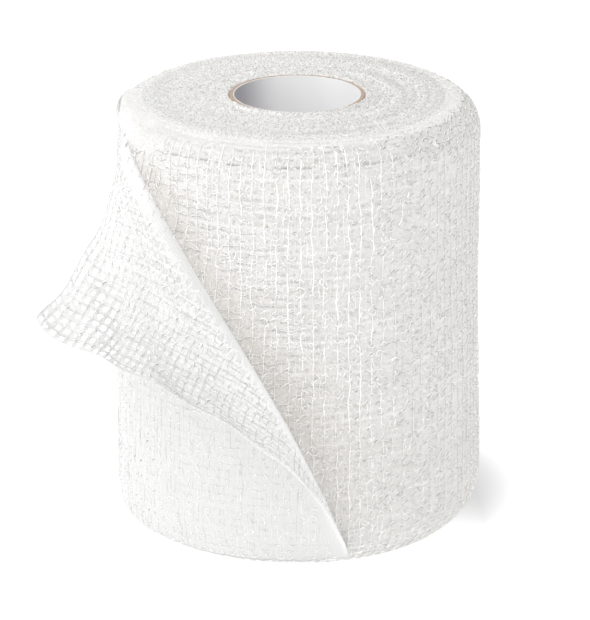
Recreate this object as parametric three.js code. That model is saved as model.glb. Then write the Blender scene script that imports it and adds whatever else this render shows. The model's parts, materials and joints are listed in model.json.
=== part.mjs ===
// Open-weave fixation bandage wound on a card core, standing on end, in millimetres with +Z up.
// The upper corner of the loose end is peeled off the roll and folded over to the left.
// Angles on the roll are measured from the front (-Y), positive towards the right (+X).
import * as THREE from 'three';
import { mergeVertices } from 'three/addons/utils/BufferGeometryUtils.js';

// Card core, a plain tube a little shorter than the cloth is wide
const CORE = { outer: 15.1, inner: 14.1, base: 0.4, top: 99.7, sides: 64 };

// Wound cloth with soft rims: its radius grows by one ply over a turn
const ROLL = {
  height: 100,
  topRadius: 41.3,
  baseRadius: 42.1,
  topRim: 7.3,
  baseRim: 12.5,
  bore: 15.4,
  plyGrowth: 0.5,
  sides: 84,
  rimSteps: 5,
  sideSteps: 13,
};

// Slow unevenness of the wound cloth, as waves round the roll and up it
const UNEVEN = [
  { depth: 0.14, round: 2, up: 1.1, phase: 0.4 },
  { depth: 0.1, round: 3, up: 2.3, phase: 2.1 },
  { depth: 0.07, round: 5, up: 3.1, phase: 4.0 },
];

// Outer ply: it lies on the roll from its root at the back left to the fold, and then hangs free
const PLY = {
  thickness: 1,
  clearance: 0.35,
  base: 4,
  top: 97.8,
  rootDeg: -100,
  rootGapDeg: 0.6,
  cutDeg: 16,
  relaxed: 0.86,
  recessDeg: 9,
  endFade: 4,
  hugColumns: 18,
  bendColumns: 7,
  flapColumns: 16,
  rows: 28,
};

// The fold from the bottom up. At this height the ply leaves the roll at leavesDeg and turns
// through turnDeg on a bend of this radius. Its far end heads headingDeg from the front towards
// the left, and dipDeg below the horizontal.
const FOLD = [
  { height: 4, leavesDeg: 13.5, bend: 2.8, turnDeg: 40, headingDeg: 10, dipDeg: 30 },
  { height: 12, leavesDeg: 8.5, bend: 2.5, turnDeg: 64, headingDeg: 6, dipDeg: 28 },
  { height: 22, leavesDeg: 3.5, bend: 2.2, turnDeg: 86, headingDeg: 0, dipDeg: 24 },
  { height: 40, leavesDeg: -8, bend: 2.1, turnDeg: 118, headingDeg: 0, dipDeg: 14 },
  { height: 60, leavesDeg: -24.5, bend: 2.2, turnDeg: 154, headingDeg: 5, dipDeg: 5 },
  { height: 80, leavesDeg: -45, bend: 2.2, turnDeg: 170, headingDeg: 25, dipDeg: 13 },
  { height: 98, leavesDeg: -69, bend: 1.9, turnDeg: 168, headingDeg: 37, dipDeg: 24 },
];

// Ripple of the flap, deepest at its free edges
const RIPPLE = { depth: 0.4, alongRow: 21, upRows: 33, fadeIn: 30 };

const COLOURS = { kraft: 0xb9a08c, cloth: 0xecebe8 };

const rad = THREE.MathUtils.degToRad;
const lerp = THREE.MathUtils.lerp;
const TURN = 2 * Math.PI;
const ROOT = rad(PLY.rootDeg);

function smooth(x) {
  const t = THREE.MathUtils.clamp(x, 0, 1);
  return t * t * (3 - 2 * t);
}

// Reads a column of the fold table at a height, on a smooth curve through its rows.
function foldColumn(column, height) {
  const last = FOLD.length - 1;
  let i = 0;
  while (i < last - 1 && height > FOLD[i + 1].height) i += 1;
  const [a, b] = [FOLD[i], FOLD[i + 1]];
  const before = FOLD[Math.max(i - 1, 0)];
  const after = FOLD[Math.min(i + 2, last)];
  const span = b.height - a.height;
  const slopeA = (b[column] - before[column]) / (b.height - before.height);
  const slopeB = (after[column] - a[column]) / (after.height - a.height);
  const t = (height - a.height) / span;
  const [t2, t3] = [t * t, t * t * t];
  return (
    (2 * t3 - 3 * t2 + 1) * a[column] +
    (t3 - 2 * t2 + t) * span * slopeA +
    (3 * t2 - 2 * t3) * b[column] +
    (t3 - t2) * span * slopeB
  );
}

// How far a rim of this size draws the side in, at a depth of 0 (its end face) to 1 of the rim.
function rimInset(rim, depth) {
  const h = 1 - THREE.MathUtils.clamp(depth, 0, 1);
  return rim * (1 - Math.sqrt(1 - h * h));
}

function sideRadius(z) {
  const straight = lerp(ROLL.baseRadius, ROLL.topRadius, z / ROLL.height);
  const fromTop = (ROLL.height - z) / ROLL.topRim;
  return straight - rimInset(ROLL.baseRim, z / ROLL.baseRim) - rimInset(ROLL.topRim, fromTop);
}

function unevenness(angle, z) {
  const fade = smooth(z / ROLL.baseRim) * smooth((ROLL.height - z) / ROLL.topRim);
  const waves = UNEVEN.map((w) => w.depth * Math.sin(w.round * angle + (w.up * z) / 30 + w.phase));
  return fade * waves.reduce((sum, value) => sum + value, 0);
}

// Radius of the wound solid. From the root of the outer ply it shrinks by one ply over a turn,
// and under that ply it is let in so that the ply lies flush at its root.
function woundRadius(angle, z) {
  const fade = smooth((z - PLY.base) / PLY.endFade) * smooth((PLY.top - z) / PLY.endFade);
  const turned = 1 - (angle - ROOT) / TURN;
  const letIn = PLY.thickness + PLY.clearance - ROLL.plyGrowth;
  const covered = smooth((rad(foldColumn('leavesDeg', z)) - angle) / rad(PLY.recessDeg));
  return sideRadius(z) + unevenness(angle, z) - fade * (ROLL.plyGrowth * turned + letIn * covered);
}

function onRoll(radius, angle, z) {
  return new THREE.Vector3(radius * Math.sin(angle), -radius * Math.cos(angle), z);
}

// Turns triangles given as corner points into one closed indexed geometry.
function closedGeometry(triangles) {
  const soup = new THREE.BufferGeometry().setFromPoints(triangles.flat());
  const merged = mergeVertices(soup, 1e-4);
  const index = [...merged.index.array];
  const kept = [];
  for (let i = 0; i < index.length; i += 3) {
    const [a, b, c] = index.slice(i, i + 3);
    if (a !== b && b !== c && c !== a) kept.push(a, b, c);
  }
  merged.setIndex(kept);
  merged.computeVertexNormals();
  return merged;
}

function quad(a, b, c, d) {
  return [[a, b, c], [a, c, d]];
}

function coreGeometry() {
  const profile = [
    new THREE.Vector2(CORE.inner, CORE.base),
    new THREE.Vector2(CORE.outer, CORE.base),
    new THREE.Vector2(CORE.outer, CORE.top),
    new THREE.Vector2(CORE.inner, CORE.top),
    new THREE.Vector2(CORE.inner, CORE.base),
  ];
  return new THREE.LatheGeometry(profile, CORE.sides).rotateX(Math.PI / 2);
}

// Heights of the rings up the side: closer together on the two rims.
function sideHeights() {
  const heights = [];
  const { height, baseRim, topRim, rimSteps, sideSteps } = ROLL;
  for (let k = 0; k < rimSteps; k += 1) {
    heights.push(baseRim * (1 - Math.cos((k / rimSteps) * (Math.PI / 2))));
  }
  for (let k = 0; k <= sideSteps; k += 1) {
    heights.push(lerp(baseRim, height - topRim, k / sideSteps));
  }
  for (let k = 1; k <= rimSteps; k += 1) {
    heights.push(height - topRim * (1 - Math.sin((k / rimSteps) * (Math.PI / 2))));
  }
  return heights;
}

// The wound cloth as one solid: closed sections stepped round the roll from the ply's root.
function rollGeometry() {
  const heights = sideHeights();
  const sections = [];
  for (let i = 0; i <= ROLL.sides; i += 1) {
    const angle = ROOT + (i / ROLL.sides) * TURN;
    const section = [onRoll(ROLL.bore, angle, 0)];
    heights.forEach((z) => section.push(onRoll(woundRadius(angle, z), angle, z)));
    section.push(onRoll(ROLL.bore, angle, ROLL.height));
    sections.push(section);
  }
  const triangles = [];
  sections.forEach((section, i) => {
    const next = sections[(i + 1) % sections.length];
    section.forEach((point, j) => {
      const k = (j + 1) % section.length;
      triangles.push(...quad(point, next[j], next[k], section[k]));
    });
  });
  return closedGeometry(triangles);
}

// Radius of the outer ply's middle surface where it lies on the roll, clear of it also on the rims.
function plyRadius(angle, z) {
  const slope = sideRadius(z + 0.5) - sideRadius(z - 0.5);
  return woundRadius(angle, z) + (PLY.clearance + PLY.thickness / 2) * Math.hypot(1, slope);
}

// What the fold does at a height: where the ply leaves the roll, and the directions there.
function foldAt(z) {
  const angle = rad(foldColumn('leavesDeg', z));
  const radius = plyRadius(angle, z);
  const above = rad(foldColumn('leavesDeg', z + 0.5));
  const below = rad(foldColumn('leavesDeg', z - 0.5));
  const slope = radius * (above - below);
  const around = new THREE.Vector3(Math.cos(angle), Math.sin(angle), 0);
  const outward = new THREE.Vector3(Math.sin(angle), -Math.cos(angle), 0);
  const up = new THREE.Vector3(0, 0, 1);
  const length = Math.hypot(slope, 1);
  const alongFold = -slope / length;
  const acrossFold = 1 / length;
  const crease = around.clone().multiplyScalar(alongFold).addScaledVector(up, -acrossFold);
  const across = around.clone().multiplyScalar(acrossFold).addScaledVector(up, alongFold);
  const bend = foldColumn('bend', z);
  const turn = rad(foldColumn('turnDeg', z));
  const heading = rad(foldColumn('headingDeg', z));
  const dip = rad(foldColumn('dipDeg', z));
  const end = new THREE.Vector3(
    -Math.cos(dip) * Math.sin(heading),
    -Math.cos(dip) * Math.cos(heading),
    -Math.sin(dip),
  );
  const start = crease
    .clone()
    .multiplyScalar(alongFold)
    .addScaledVector(across, acrossFold * Math.cos(turn))
    .addScaledVector(outward, acrossFold * Math.sin(turn));
  const foot = onRoll(radius, angle, z);
  const bendLength = (bend * turn) / acrossFold;
  const freeLength = radius * (rad(PLY.cutDeg) - angle);
  return { foot, outward, crease, across, alongFold, acrossFold, bend, bendLength, freeLength, start, end };
}

// Direction between two unit directions, part of the way round.
function between(a, b, part) {
  const angle = a.angleTo(b);
  const s = Math.sin(angle);
  if (s < 1e-6) return a.clone();
  return a
    .clone()
    .multiplyScalar(Math.sin((1 - part) * angle) / s)
    .addScaledVector(b, Math.sin(part * angle) / s);
}

// Middle surface of the loose end, a length of cloth past the line where it leaves the roll.
function freePoint(fold, length) {
  const onBend = Math.min(length, fold.bendLength);
  const turned = (onBend * fold.acrossFold) / fold.bend;
  const point = fold.foot
    .clone()
    .addScaledVector(fold.crease, onBend * fold.alongFold)
    .addScaledVector(fold.across, fold.bend * Math.sin(turned))
    .addScaledVector(fold.outward, fold.bend * (1 - Math.cos(turned)));
  const flap = fold.freeLength - fold.bendLength;
  const steps = 16;
  const rest = length - onBend;
  for (let k = 0; k < steps && rest > 0; k += 1) {
    const part = ((k + 0.5) / steps) * (rest / flap);
    const eased = lerp(part, smooth(part), 0.6);
    point.addScaledVector(between(fold.start, fold.end, eased), (PLY.relaxed * rest) / steps);
  }
  return point;
}

function plyRow(z) {
  const fold = foldAt(z);
  const row = [];
  const root = ROOT + rad(PLY.rootGapDeg);
  const leaves = rad(foldColumn('leavesDeg', z));
  for (let k = 0; k < PLY.hugColumns; k += 1) {
    const angle = lerp(root, leaves, k / PLY.hugColumns);
    row.push({ point: onRoll(plyRadius(angle, z), angle, z), free: 0 });
  }
  const bendEnd = Math.min(fold.bendLength, 0.7 * fold.freeLength);
  for (let k = 0; k < PLY.bendColumns; k += 1) {
    const free = bendEnd * (k / PLY.bendColumns);
    row.push({ point: freePoint(fold, free), free });
  }
  for (let k = 0; k <= PLY.flapColumns; k += 1) {
    const free = lerp(bendEnd, fold.freeLength, k / PLY.flapColumns);
    row.push({ point: freePoint(fold, free), free });
  }
  return row;
}

// Outward normal of the ply's middle surface at a place in its grid.
function plyNormal(rows, i, j) {
  const lowRow = rows[Math.max(i - 1, 0)][j].point;
  const highRow = rows[Math.min(i + 1, rows.length - 1)][j].point;
  const left = rows[i][Math.max(j - 1, 0)].point;
  const right = rows[i][Math.min(j + 1, rows[i].length - 1)].point;
  const along = right.clone().sub(left);
  return along.cross(highRow.clone().sub(lowRow)).normalize();
}

// The outer ply with its folded corner, as a sheet of even thickness.
function looseEndGeometry() {
  const rows = [];
  for (let i = 0; i <= PLY.rows; i += 1) rows.push(plyRow(lerp(PLY.base, PLY.top, i / PLY.rows)));
  const outer = [];
  const inner = [];
  rows.forEach((row, i) => {
    const z = lerp(PLY.base, PLY.top, i / PLY.rows);
    const faces = row.map(({ point, free }, j) => {
      const wave = Math.sin(TURN * (free / RIPPLE.alongRow + z / RIPPLE.upRows));
      const lift = RIPPLE.depth * smooth(free / RIPPLE.fadeIn) * wave;
      const normal = plyNormal(rows, i, j);
      const half = PLY.thickness / 2;
      return [
        point.clone().addScaledVector(normal, lift + half),
        point.clone().addScaledVector(normal, lift - half),
      ];
    });
    outer.push(faces.map((pair) => pair[0]));
    inner.push(faces.map((pair) => pair[1]));
  });
  const triangles = [];
  const [lastRow, lastColumn] = [rows.length - 1, rows[0].length - 1];
  for (let i = 0; i < lastRow; i += 1) {
    for (let j = 0; j < lastColumn; j += 1) {
      triangles.push(...quad(outer[i][j], outer[i][j + 1], outer[i + 1][j + 1], outer[i + 1][j]));
      triangles.push(...quad(inner[i][j], inner[i + 1][j], inner[i + 1][j + 1], inner[i][j + 1]));
    }
    triangles.push(...quad(outer[i][0], outer[i + 1][0], inner[i + 1][0], inner[i][0]));
    triangles.push(
      ...quad(outer[i][lastColumn], inner[i][lastColumn], inner[i + 1][lastColumn], outer[i + 1][lastColumn]),
    );
  }
  for (let j = 0; j < lastColumn; j += 1) {
    triangles.push(...quad(outer[0][j], inner[0][j], inner[0][j + 1], outer[0][j + 1]));
    triangles.push(
      ...quad(outer[lastRow][j], outer[lastRow][j + 1], inner[lastRow][j + 1], inner[lastRow][j]),
    );
  }
  return closedGeometry(triangles);
}

function piece(name, geometry, color, roughness) {
  const mesh = new THREE.Mesh(geometry, new THREE.MeshStandardMaterial({ color, roughness, metalness: 0 }));
  mesh.name = name;
  return mesh;
}

const bandage = new THREE.Group();
bandage.add(piece('core_tube', coreGeometry(), COLOURS.kraft, 0.85));
bandage.add(piece('wound_roll', rollGeometry(), COLOURS.cloth, 0.95));
bandage.add(piece('loose_end', looseEndGeometry(), COLOURS.cloth, 0.95));

// The origin is the middle of the whole thing's footprint, on the surface that it stands on.
const box = new THREE.Box3().setFromObject(bandage);
bandage.position.set(-(box.min.x + box.max.x) / 2, -(box.min.y + box.max.y) / 2, -box.min.z);
bandage.updateMatrixWorld(true);

export default bandage;
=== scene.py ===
"""Open-weave fixation bandage wound on a card core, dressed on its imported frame.

Sizes are in millimetres and angles in degrees until a mesh is made. Angles on the roll start at
the front (-Y) and grow towards the right. Places on the cloth are given as an angle round the
roll and a distance v along the side's profile, from the lower end face over both rims. Noise
takes its coordinates in grains, and the last number of each call only says which noise it is.
"""

from __future__ import annotations

import json
import logging
import math
from dataclasses import dataclass
from enum import Enum
from typing import Any, Callable

import bpy
import numpy as np
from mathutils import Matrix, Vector

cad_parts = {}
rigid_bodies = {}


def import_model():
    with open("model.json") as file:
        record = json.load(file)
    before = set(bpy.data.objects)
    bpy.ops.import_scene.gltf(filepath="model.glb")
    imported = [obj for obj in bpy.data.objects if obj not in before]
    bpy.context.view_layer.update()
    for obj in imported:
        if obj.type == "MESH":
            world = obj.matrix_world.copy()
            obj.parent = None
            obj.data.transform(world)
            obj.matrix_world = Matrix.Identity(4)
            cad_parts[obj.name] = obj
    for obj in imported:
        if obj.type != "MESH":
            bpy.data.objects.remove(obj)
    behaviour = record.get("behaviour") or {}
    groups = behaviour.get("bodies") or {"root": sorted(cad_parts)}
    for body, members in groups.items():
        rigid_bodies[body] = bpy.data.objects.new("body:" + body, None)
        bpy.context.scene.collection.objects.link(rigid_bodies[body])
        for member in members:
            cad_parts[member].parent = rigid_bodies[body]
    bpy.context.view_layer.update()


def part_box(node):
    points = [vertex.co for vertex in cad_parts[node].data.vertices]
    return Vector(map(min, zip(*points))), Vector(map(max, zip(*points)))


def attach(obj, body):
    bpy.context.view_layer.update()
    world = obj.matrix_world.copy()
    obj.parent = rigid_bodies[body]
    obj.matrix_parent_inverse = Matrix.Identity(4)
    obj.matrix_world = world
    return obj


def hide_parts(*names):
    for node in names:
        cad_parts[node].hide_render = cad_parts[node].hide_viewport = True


MM = 0.001
UV_MM = 120.0
BASE_RADIUS = 42.1
FIRST_ROW = 0.8
ROW_PITCH = 1.85
Array = np.ndarray
Colour = tuple[float, float, float]
Placed = tuple[Array, Array]
Cover = Callable[[Array, Array, Array], Placed]
log = logging.getLogger("bandage")


def smooth(x: Array) -> Array:
    """Eases x from 0 to 1 with level ends."""
    t = np.clip(x, 0.0, 1.0)
    return t * t * (3 - 2 * t)


def lattice(i: Array, j: Array, seed: float) -> Array:
    """Random numbers from -1 to 1 at whole places i, j."""
    h = np.sin(i * 127.1 + j * 311.7 + seed * 74.7) * 43758.5453
    return 2 * (h - np.floor(h)) - 1


def noise(x: Array, y: Array, seed: float) -> Array:
    """Smooth noise over a plane.

    Args:
        x: First coordinate, in grains.
        y: Second coordinate, in grains.
        seed: Which noise it is.

    Returns:
        Values from -1 to 1.
    """
    x, y = np.broadcast_arrays(np.asarray(x, float), np.asarray(y, float))
    i, j = np.floor(x), np.floor(y)
    u, v = smooth(x - i), smooth(y - j)
    low = lattice(i, j, seed) * (1 - u) + lattice(i + 1, j, seed) * u
    high = lattice(i, j + 1, seed) * (1 - u) + lattice(i + 1, j + 1, seed) * u
    return low * (1 - v) + high * v


def unit(vectors: Array) -> Array:
    """The same directions with length 1."""
    return vectors / np.maximum(np.linalg.norm(vectors, axis=-1, keepdims=True), 1e-9)


def arc_angle(length: Array) -> Array:
    """The angle round the roll of a length of cloth."""
    return np.degrees(length / BASE_RADIUS)


@dataclass(frozen=True)
class FoldRow:
    """What the loose end does at one height.

    It leaves the roll at an angle, turns on a bend of a radius, and its far end heads an angle
    from the front towards the left and dips below the horizontal.
    """

    height: float
    leaves: float
    bend: float
    turn: float
    heading: float
    dip: float


FOLD = (
    FoldRow(4, 13.5, 2.8, 40, 10, 30),
    FoldRow(12, 8.5, 2.5, 64, 6, 28),
    FoldRow(22, 3.5, 2.2, 86, 0, 24),
    FoldRow(40, -8, 2.1, 118, 0, 14),
    FoldRow(60, -24.5, 2.2, 154, 5, 5),
    FoldRow(80, -45, 1.9, 170, 25, 13),
    FoldRow(98, -69, 0.5, 168, 37, 24),
)


def fold_column(name: str, height: Array) -> Array:
    """Reads a column of the fold table on a smooth curve through its rows.

    Args:
        name: The column.
        height: Heights above the lower end face.

    Returns:
        The column's value at each height.
    """
    at = np.array([row.height for row in FOLD], float)
    value = np.array([getattr(row, name) for row in FOLD], float)
    last = len(FOLD) - 1
    i = np.clip(np.searchsorted(at, height, side="left") - 1, 0, last - 1)
    before, after = np.maximum(i - 1, 0), np.minimum(i + 2, last)
    span = at[i + 1] - at[i]
    slope_a = (value[i + 1] - value[before]) / (at[i + 1] - at[before])
    slope_b = (value[after] - value[i]) / (at[after] - at[i])
    t = (height - at[i]) / span
    start = (2 * t**3 - 3 * t**2 + 1) * value[i] + (t**3 - 2 * t**2 + t) * span * slope_a
    return start + (3 * t**2 - 2 * t**3) * value[i + 1] + (t**3 - t**2) * span * slope_b


def fold_climb(z: Array) -> Array:
    """How far the fold line turns round the roll over a millimetre of height, in radians."""
    return np.radians(fold_column("leaves", z + 0.5) - fold_column("leaves", z - 0.5))


@dataclass(frozen=True)
class Wave:
    """One slow wave of the wound cloth, so many times round the roll and so steep up it."""

    depth: float
    times: int
    up: float
    phase: float


@dataclass
class RollForm:
    """The wound form: a soft barrel whose radius grows by one ply over a turn."""

    axis: tuple[float, float]
    height: float = 100.0
    top_radius: float = 40.9
    base_radius: float = BASE_RADIUS
    top_rim: float = 7.3
    base_rim: float = 12.5
    bore: float = 15.4
    ply_growth: float = 0.5
    ply_thickness: float = 1.0
    clearance: float = 0.35
    ply_base: float = 4.0
    ply_top: float = 97.8
    root: float = -100.0
    recess: float = 9.0
    end_fade: float = 4.0
    shade_core: float = 3.2
    shade_reach: float = 3.4
    foot_start: float = 1.7
    foot_reach: float = 5.0
    least_bend: float = 0.8
    waves: tuple[Wave, ...] = (
        Wave(0.14, 2, 1.1, 0.4),
        Wave(0.1, 3, 2.3, 2.1),
        Wave(0.07, 5, 3.1, 4.0),
    )

    def __post_init__(self) -> None:
        """Measures the side's profile, from the lower end face over both rims."""
        quarter = np.linspace(0, math.pi / 2, 40)
        low = self.base_rim * (1 - np.cos(quarter))
        high = self.height - self.top_rim * (1 - np.sin(quarter))
        self.z_at = np.concatenate([low, np.linspace(self.base_rim, high[0], 60)[1:-1], high])
        radius = self.side_radius(self.z_at)
        steps = np.hypot(np.diff(radius), np.diff(self.z_at))
        self.v_at = np.concatenate([[0.0], np.cumsum(steps)])
        self.length = float(self.v_at[-1])
        self.rise = np.gradient(self.z_at, self.v_at)
        self.spread = np.gradient(radius, self.v_at)

    def rim_inset(self, rim: float, depth: Array) -> Array:
        """How far a rim draws the side in, from a depth of 0 at the end face to 1."""
        h = 1 - np.clip(depth, 0, 1)
        return rim * (1 - np.sqrt(np.maximum(1 - h * h, 0)))

    def side_radius(self, z: Array) -> Array:
        """Radius of the plain barrel at a height."""
        straight = self.base_radius + (self.top_radius - self.base_radius) * z / self.height
        top = self.rim_inset(self.top_rim, (self.height - z) / self.top_rim)
        return straight - self.rim_inset(self.base_rim, z / self.base_rim) - top

    def unevenness(self, angle: Array, z: Array) -> Array:
        """Slow waves of the wound cloth, level at the end faces."""
        fade = smooth(z / self.base_rim) * smooth((self.height - z) / self.top_rim)
        around = np.radians(angle)
        return fade * sum(
            wave.depth * np.sin(wave.times * around + wave.up * z / 30 + wave.phase)
            for wave in self.waves
        )

    def wound_radius(self, angle: Array, z: Array) -> Array:
        """Radius of the wound cloth, let in under the loose outer ply."""
        fade = smooth((z - self.ply_base) / self.end_fade)
        fade = fade * smooth((self.ply_top - z) / self.end_fade)
        turned = 1 - (angle - self.root) / 360
        let_in = self.ply_thickness + self.clearance - self.ply_growth
        drop = fade * (self.ply_growth * turned + let_in * self.covered(angle, z))
        return self.side_radius(z) + self.unevenness(angle, z) - drop

    def covered(self, angle: Array, z: Array) -> Array:
        """1 where the loose ply lies on the roll, and 0 past the fold line."""
        return smooth((fold_column("leaves", z) - angle) / self.recess)

    def ply_radius(self, angle: Array, z: Array) -> Array:
        """Radius of the outer ply's middle where it lies on the roll."""
        slope = self.side_radius(z + 0.5) - self.side_radius(z - 0.5)
        off = (self.clearance + self.ply_thickness / 2) * np.hypot(1, slope)
        return self.wound_radius(angle, z) + off

    def past_fold(self, angle: Array, v: Array) -> Array:
        """How many degrees a place of the cloth is past the fold line."""
        return angle - fold_column("leaves", self.height_of(v))

    def fold_distance(self, angle: Array, v: Array) -> Array:
        """How far a place of the cloth is past the fold line, square to the line."""
        along = np.radians(self.past_fold(angle, v)) * self.base_radius
        return along / np.hypot(self.base_radius * fold_climb(self.height_of(v)), 1)

    def fold_shade(self, angle: Array, v: Array) -> Array:
        """How much the folded ply keeps the light from a place on the side, from 0 to 1."""
        past, z = self.fold_distance(angle, v), self.height_of(v)
        low = smooth((75 - z) / 50)
        reach = self.shade_reach * (1 + 1.3 * low)
        fade = smooth((past + 0.5) / 3.5) * smooth(z / 50 + 0.1) * smooth((96 - z) / 8)
        return np.exp(-np.maximum(past - self.shade_core - 2.2 * low, 0) / reach) * fade

    def foot(self, angle: Array, v: Array) -> Array:
        """How far the wound cloth rises to meet the fold of the loose ply."""
        past, z = self.fold_distance(angle, v), self.height_of(v)
        high = 0.35 + 0.8 * np.maximum(fold_column("bend", z), self.least_bend)
        ramp = (1 - np.clip((past - self.foot_start) / self.foot_reach, 0, 1)) ** 2
        there = smooth((z - 10) / 22) * smooth((99.5 - z) / 5)
        return high * ramp * smooth((past + 1) / 1.5) * there

    def place(self, radius: Array, angle: Array, z: Array) -> Array:
        """Points at a radius, an angle and a height."""
        a = np.radians(angle)
        x = self.axis[0] + radius * np.sin(a)
        y = self.axis[1] - radius * np.cos(a)
        return np.stack(np.broadcast_arrays(x, y, z), axis=-1)

    def height_of(self, v: Array) -> Array:
        """Height of a place along the side's profile."""
        return np.interp(v, self.v_at, self.z_at)

    def profile_of(self, z: float) -> float:
        """Distance along the side's profile of a height."""
        return float(np.interp(z, self.z_at, self.v_at))

    def surface(self, angle: Array, v: Array, lift: Array) -> Placed:
        """Points over the wound side.

        Args:
            angle: Angles round the roll.
            v: Distances along the side's profile.
            lift: How far the points stand off the side.

        Returns:
            The points and the outward directions there.
        """
        angle, v, lift = np.broadcast_arrays(angle, v, lift)
        z = self.height_of(v)
        rise, spread = np.interp(v, self.v_at, self.rise), np.interp(v, self.v_at, self.spread)
        a = np.radians(angle)
        outward = unit(np.stack([rise * np.sin(a), -rise * np.cos(a), -spread], axis=-1))
        points = self.place(self.wound_radius(angle, z), angle, z)
        return points + outward * lift[..., None], outward


@dataclass
class LooseForm:
    """The outer ply: it lies on the roll from its root to the fold, and then hangs free."""

    roll: RollForm
    gap: float = 0.6
    cut: float = 16.0
    relaxed: float = 0.86
    ripple: float = 0.4
    ripple_along: float = 21.0
    ripple_up: float = 33.0
    ripple_fade: float = 30.0
    columns: int = 260
    rows: int = 110

    def __post_init__(self) -> None:
        """Works the middle surface out on an even grid of the cloth."""
        roll = self.roll
        self.first = roll.root + self.gap
        self.v_low, self.v_high = roll.profile_of(roll.ply_base), roll.profile_of(roll.ply_top)
        angle = np.linspace(self.first, self.cut, self.columns)[None, :]
        z = roll.height_of(np.linspace(self.v_low, self.v_high, self.rows))[:, None]
        leaves = fold_column("leaves", z)
        on_roll = roll.place(roll.ply_radius(angle, z), angle, z)
        free = np.radians(np.maximum(angle - leaves, 0)) * roll.ply_radius(leaves, z)
        points = np.where((angle < leaves)[..., None], on_roll, self.free_points(z, free))
        wave = np.sin(2 * math.pi * (free / self.ripple_along + z / self.ripple_up))
        lift = self.ripple * smooth(free / self.ripple_fade) * wave
        self.points = points + self.normals(points) * lift[..., None]
        self.outward = self.normals(self.points)

    @staticmethod
    def normals(points: Array) -> Array:
        """Outward directions of a grid of points."""
        return unit(np.cross(np.gradient(points, axis=1), np.gradient(points, axis=0)))

    def free_points(self, z: Array, free: Array) -> Array:
        """Middle surface past the line where the ply leaves the roll.

        Args:
            z: Heights on the cloth, one for each row.
            free: Lengths of cloth past that line, for each row and column.

        Returns:
            The points of the grid.
        """
        roll = self.roll
        leaves = fold_column("leaves", z)
        radius = roll.ply_radius(leaves, z)
        slope = radius * fold_climb(z)
        long = np.hypot(slope, 1)
        along, across = -slope / long, 1 / long
        a = np.radians(leaves)
        zero = np.zeros_like(a)
        around = np.stack([np.cos(a), np.sin(a), zero], axis=-1)
        outward = np.stack([np.sin(a), -np.cos(a), zero], axis=-1)
        up = np.stack([zero, zero, zero + 1], axis=-1)
        crease = around * along[..., None] - up * across[..., None]
        over = around * across[..., None] + up * along[..., None]
        bend, turn = fold_column("bend", z), np.radians(fold_column("turn", z))
        heading, dip = (np.radians(fold_column(name, z)) for name in ("heading", "dip"))
        level = np.cos(dip)
        end = np.stack([-level * np.sin(heading), -level * np.cos(heading), -np.sin(dip)], axis=-1)
        start = crease * along[..., None] + over * (across * np.cos(turn))[..., None]
        start = start + outward * (across * np.sin(turn))[..., None]
        bend_length = bend * turn / across
        flap = np.maximum(radius * np.radians(self.cut - leaves) - bend_length, 1e-6)
        on_bend = np.minimum(free, bend_length)
        turned = on_bend * across / bend
        points = roll.place(radius, leaves, z) + crease * (on_bend * along)[..., None]
        points = points + over * (bend * np.sin(turned))[..., None]
        points = points + outward * (bend * (1 - np.cos(turned)))[..., None]
        rest = free - on_bend
        between = np.arccos(np.clip((start * end).sum(-1), -1, 1))
        steps = 16
        for k in range(steps):
            part = (k + 0.5) / steps * rest / flap
            eased = part + 0.6 * (smooth(part) - part)
            from_start = np.sin((1 - eased) * between)[..., None] * start
            to_end = np.sin(eased * between)[..., None] * end
            heading_now = (from_start + to_end) / np.sin(between)[..., None]
            points = points + heading_now * (self.relaxed * rest / steps)[..., None]
        return points

    def surface(self, angle: Array, v: Array, lift: Array) -> Placed:
        """Points over the loose ply, on whichever side lift says.

        Args:
            angle: Places along the cloth, as the angle that they had on the roll.
            v: Distances along the side's profile.
            lift: How far the points stand off the ply's middle.

        Returns:
            The points and the outward directions there.
        """
        angle, v, lift = np.broadcast_arrays(angle, v, lift)
        x = np.clip((angle - self.first) / (self.cut - self.first), 0, 1) * (self.columns - 1)
        y = np.clip((v - self.v_low) / (self.v_high - self.v_low), 0, 1) * (self.rows - 1)
        i, j = np.minimum(y.astype(int), self.rows - 2), np.minimum(x.astype(int), self.columns - 2)
        s, t = (y - i)[..., None], (x - j)[..., None]

        def blend(grid: Array) -> Array:
            """Reads the grid between its points."""
            low = grid[i, j] * (1 - t) + grid[i, j + 1] * t
            return low * (1 - s) + (grid[i + 1, j] * (1 - t) + grid[i + 1, j + 1] * t) * s

        outward = unit(blend(self.outward))
        return blend(self.points) + outward * lift[..., None], outward


def find(sockets: Any, key: Any) -> bpy.types.NodeSocket:
    """The socket with an identifier, or else with a name or a number."""
    known = {socket.identifier: socket for socket in sockets}
    return known[key] if key in known else sockets[key]


class Tree:
    """A node tree in which one method makes every node."""

    def __init__(self, tree: bpy.types.NodeTree) -> None:
        """Keeps the tree."""
        self.tree = tree

    def node(self, kind: str, inputs: dict[Any, Any], **settings: Any) -> bpy.types.Node:
        """Adds a node.

        Args:
            kind: The node's type.
            inputs: Values, or sockets to link, by socket identifier, name or number.
            settings: The node's settings, set before its sockets.

        Returns:
            The node.
        """
        made = self.tree.nodes.new(kind)
        for key, value in settings.items():
            setattr(made, key, value)
        for key, value in inputs.items():
            socket = find(made.inputs, key)
            value = value.socket if isinstance(value, Socket) else value
            if isinstance(value, bpy.types.NodeSocket):
                self.tree.links.new(value, socket)
            elif socket.type == "RGBA":
                socket.default_value = (*value, 1.0)
            else:
                socket.default_value = value
        return made

    def result(
        self, kind: str, inputs: dict[Any, Any], output: Any = 0, **settings: Any
    ) -> bpy.types.NodeSocket:
        """One output of a node that is made as node makes it."""
        return find(self.node(kind, inputs, **settings).outputs, output)


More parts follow.
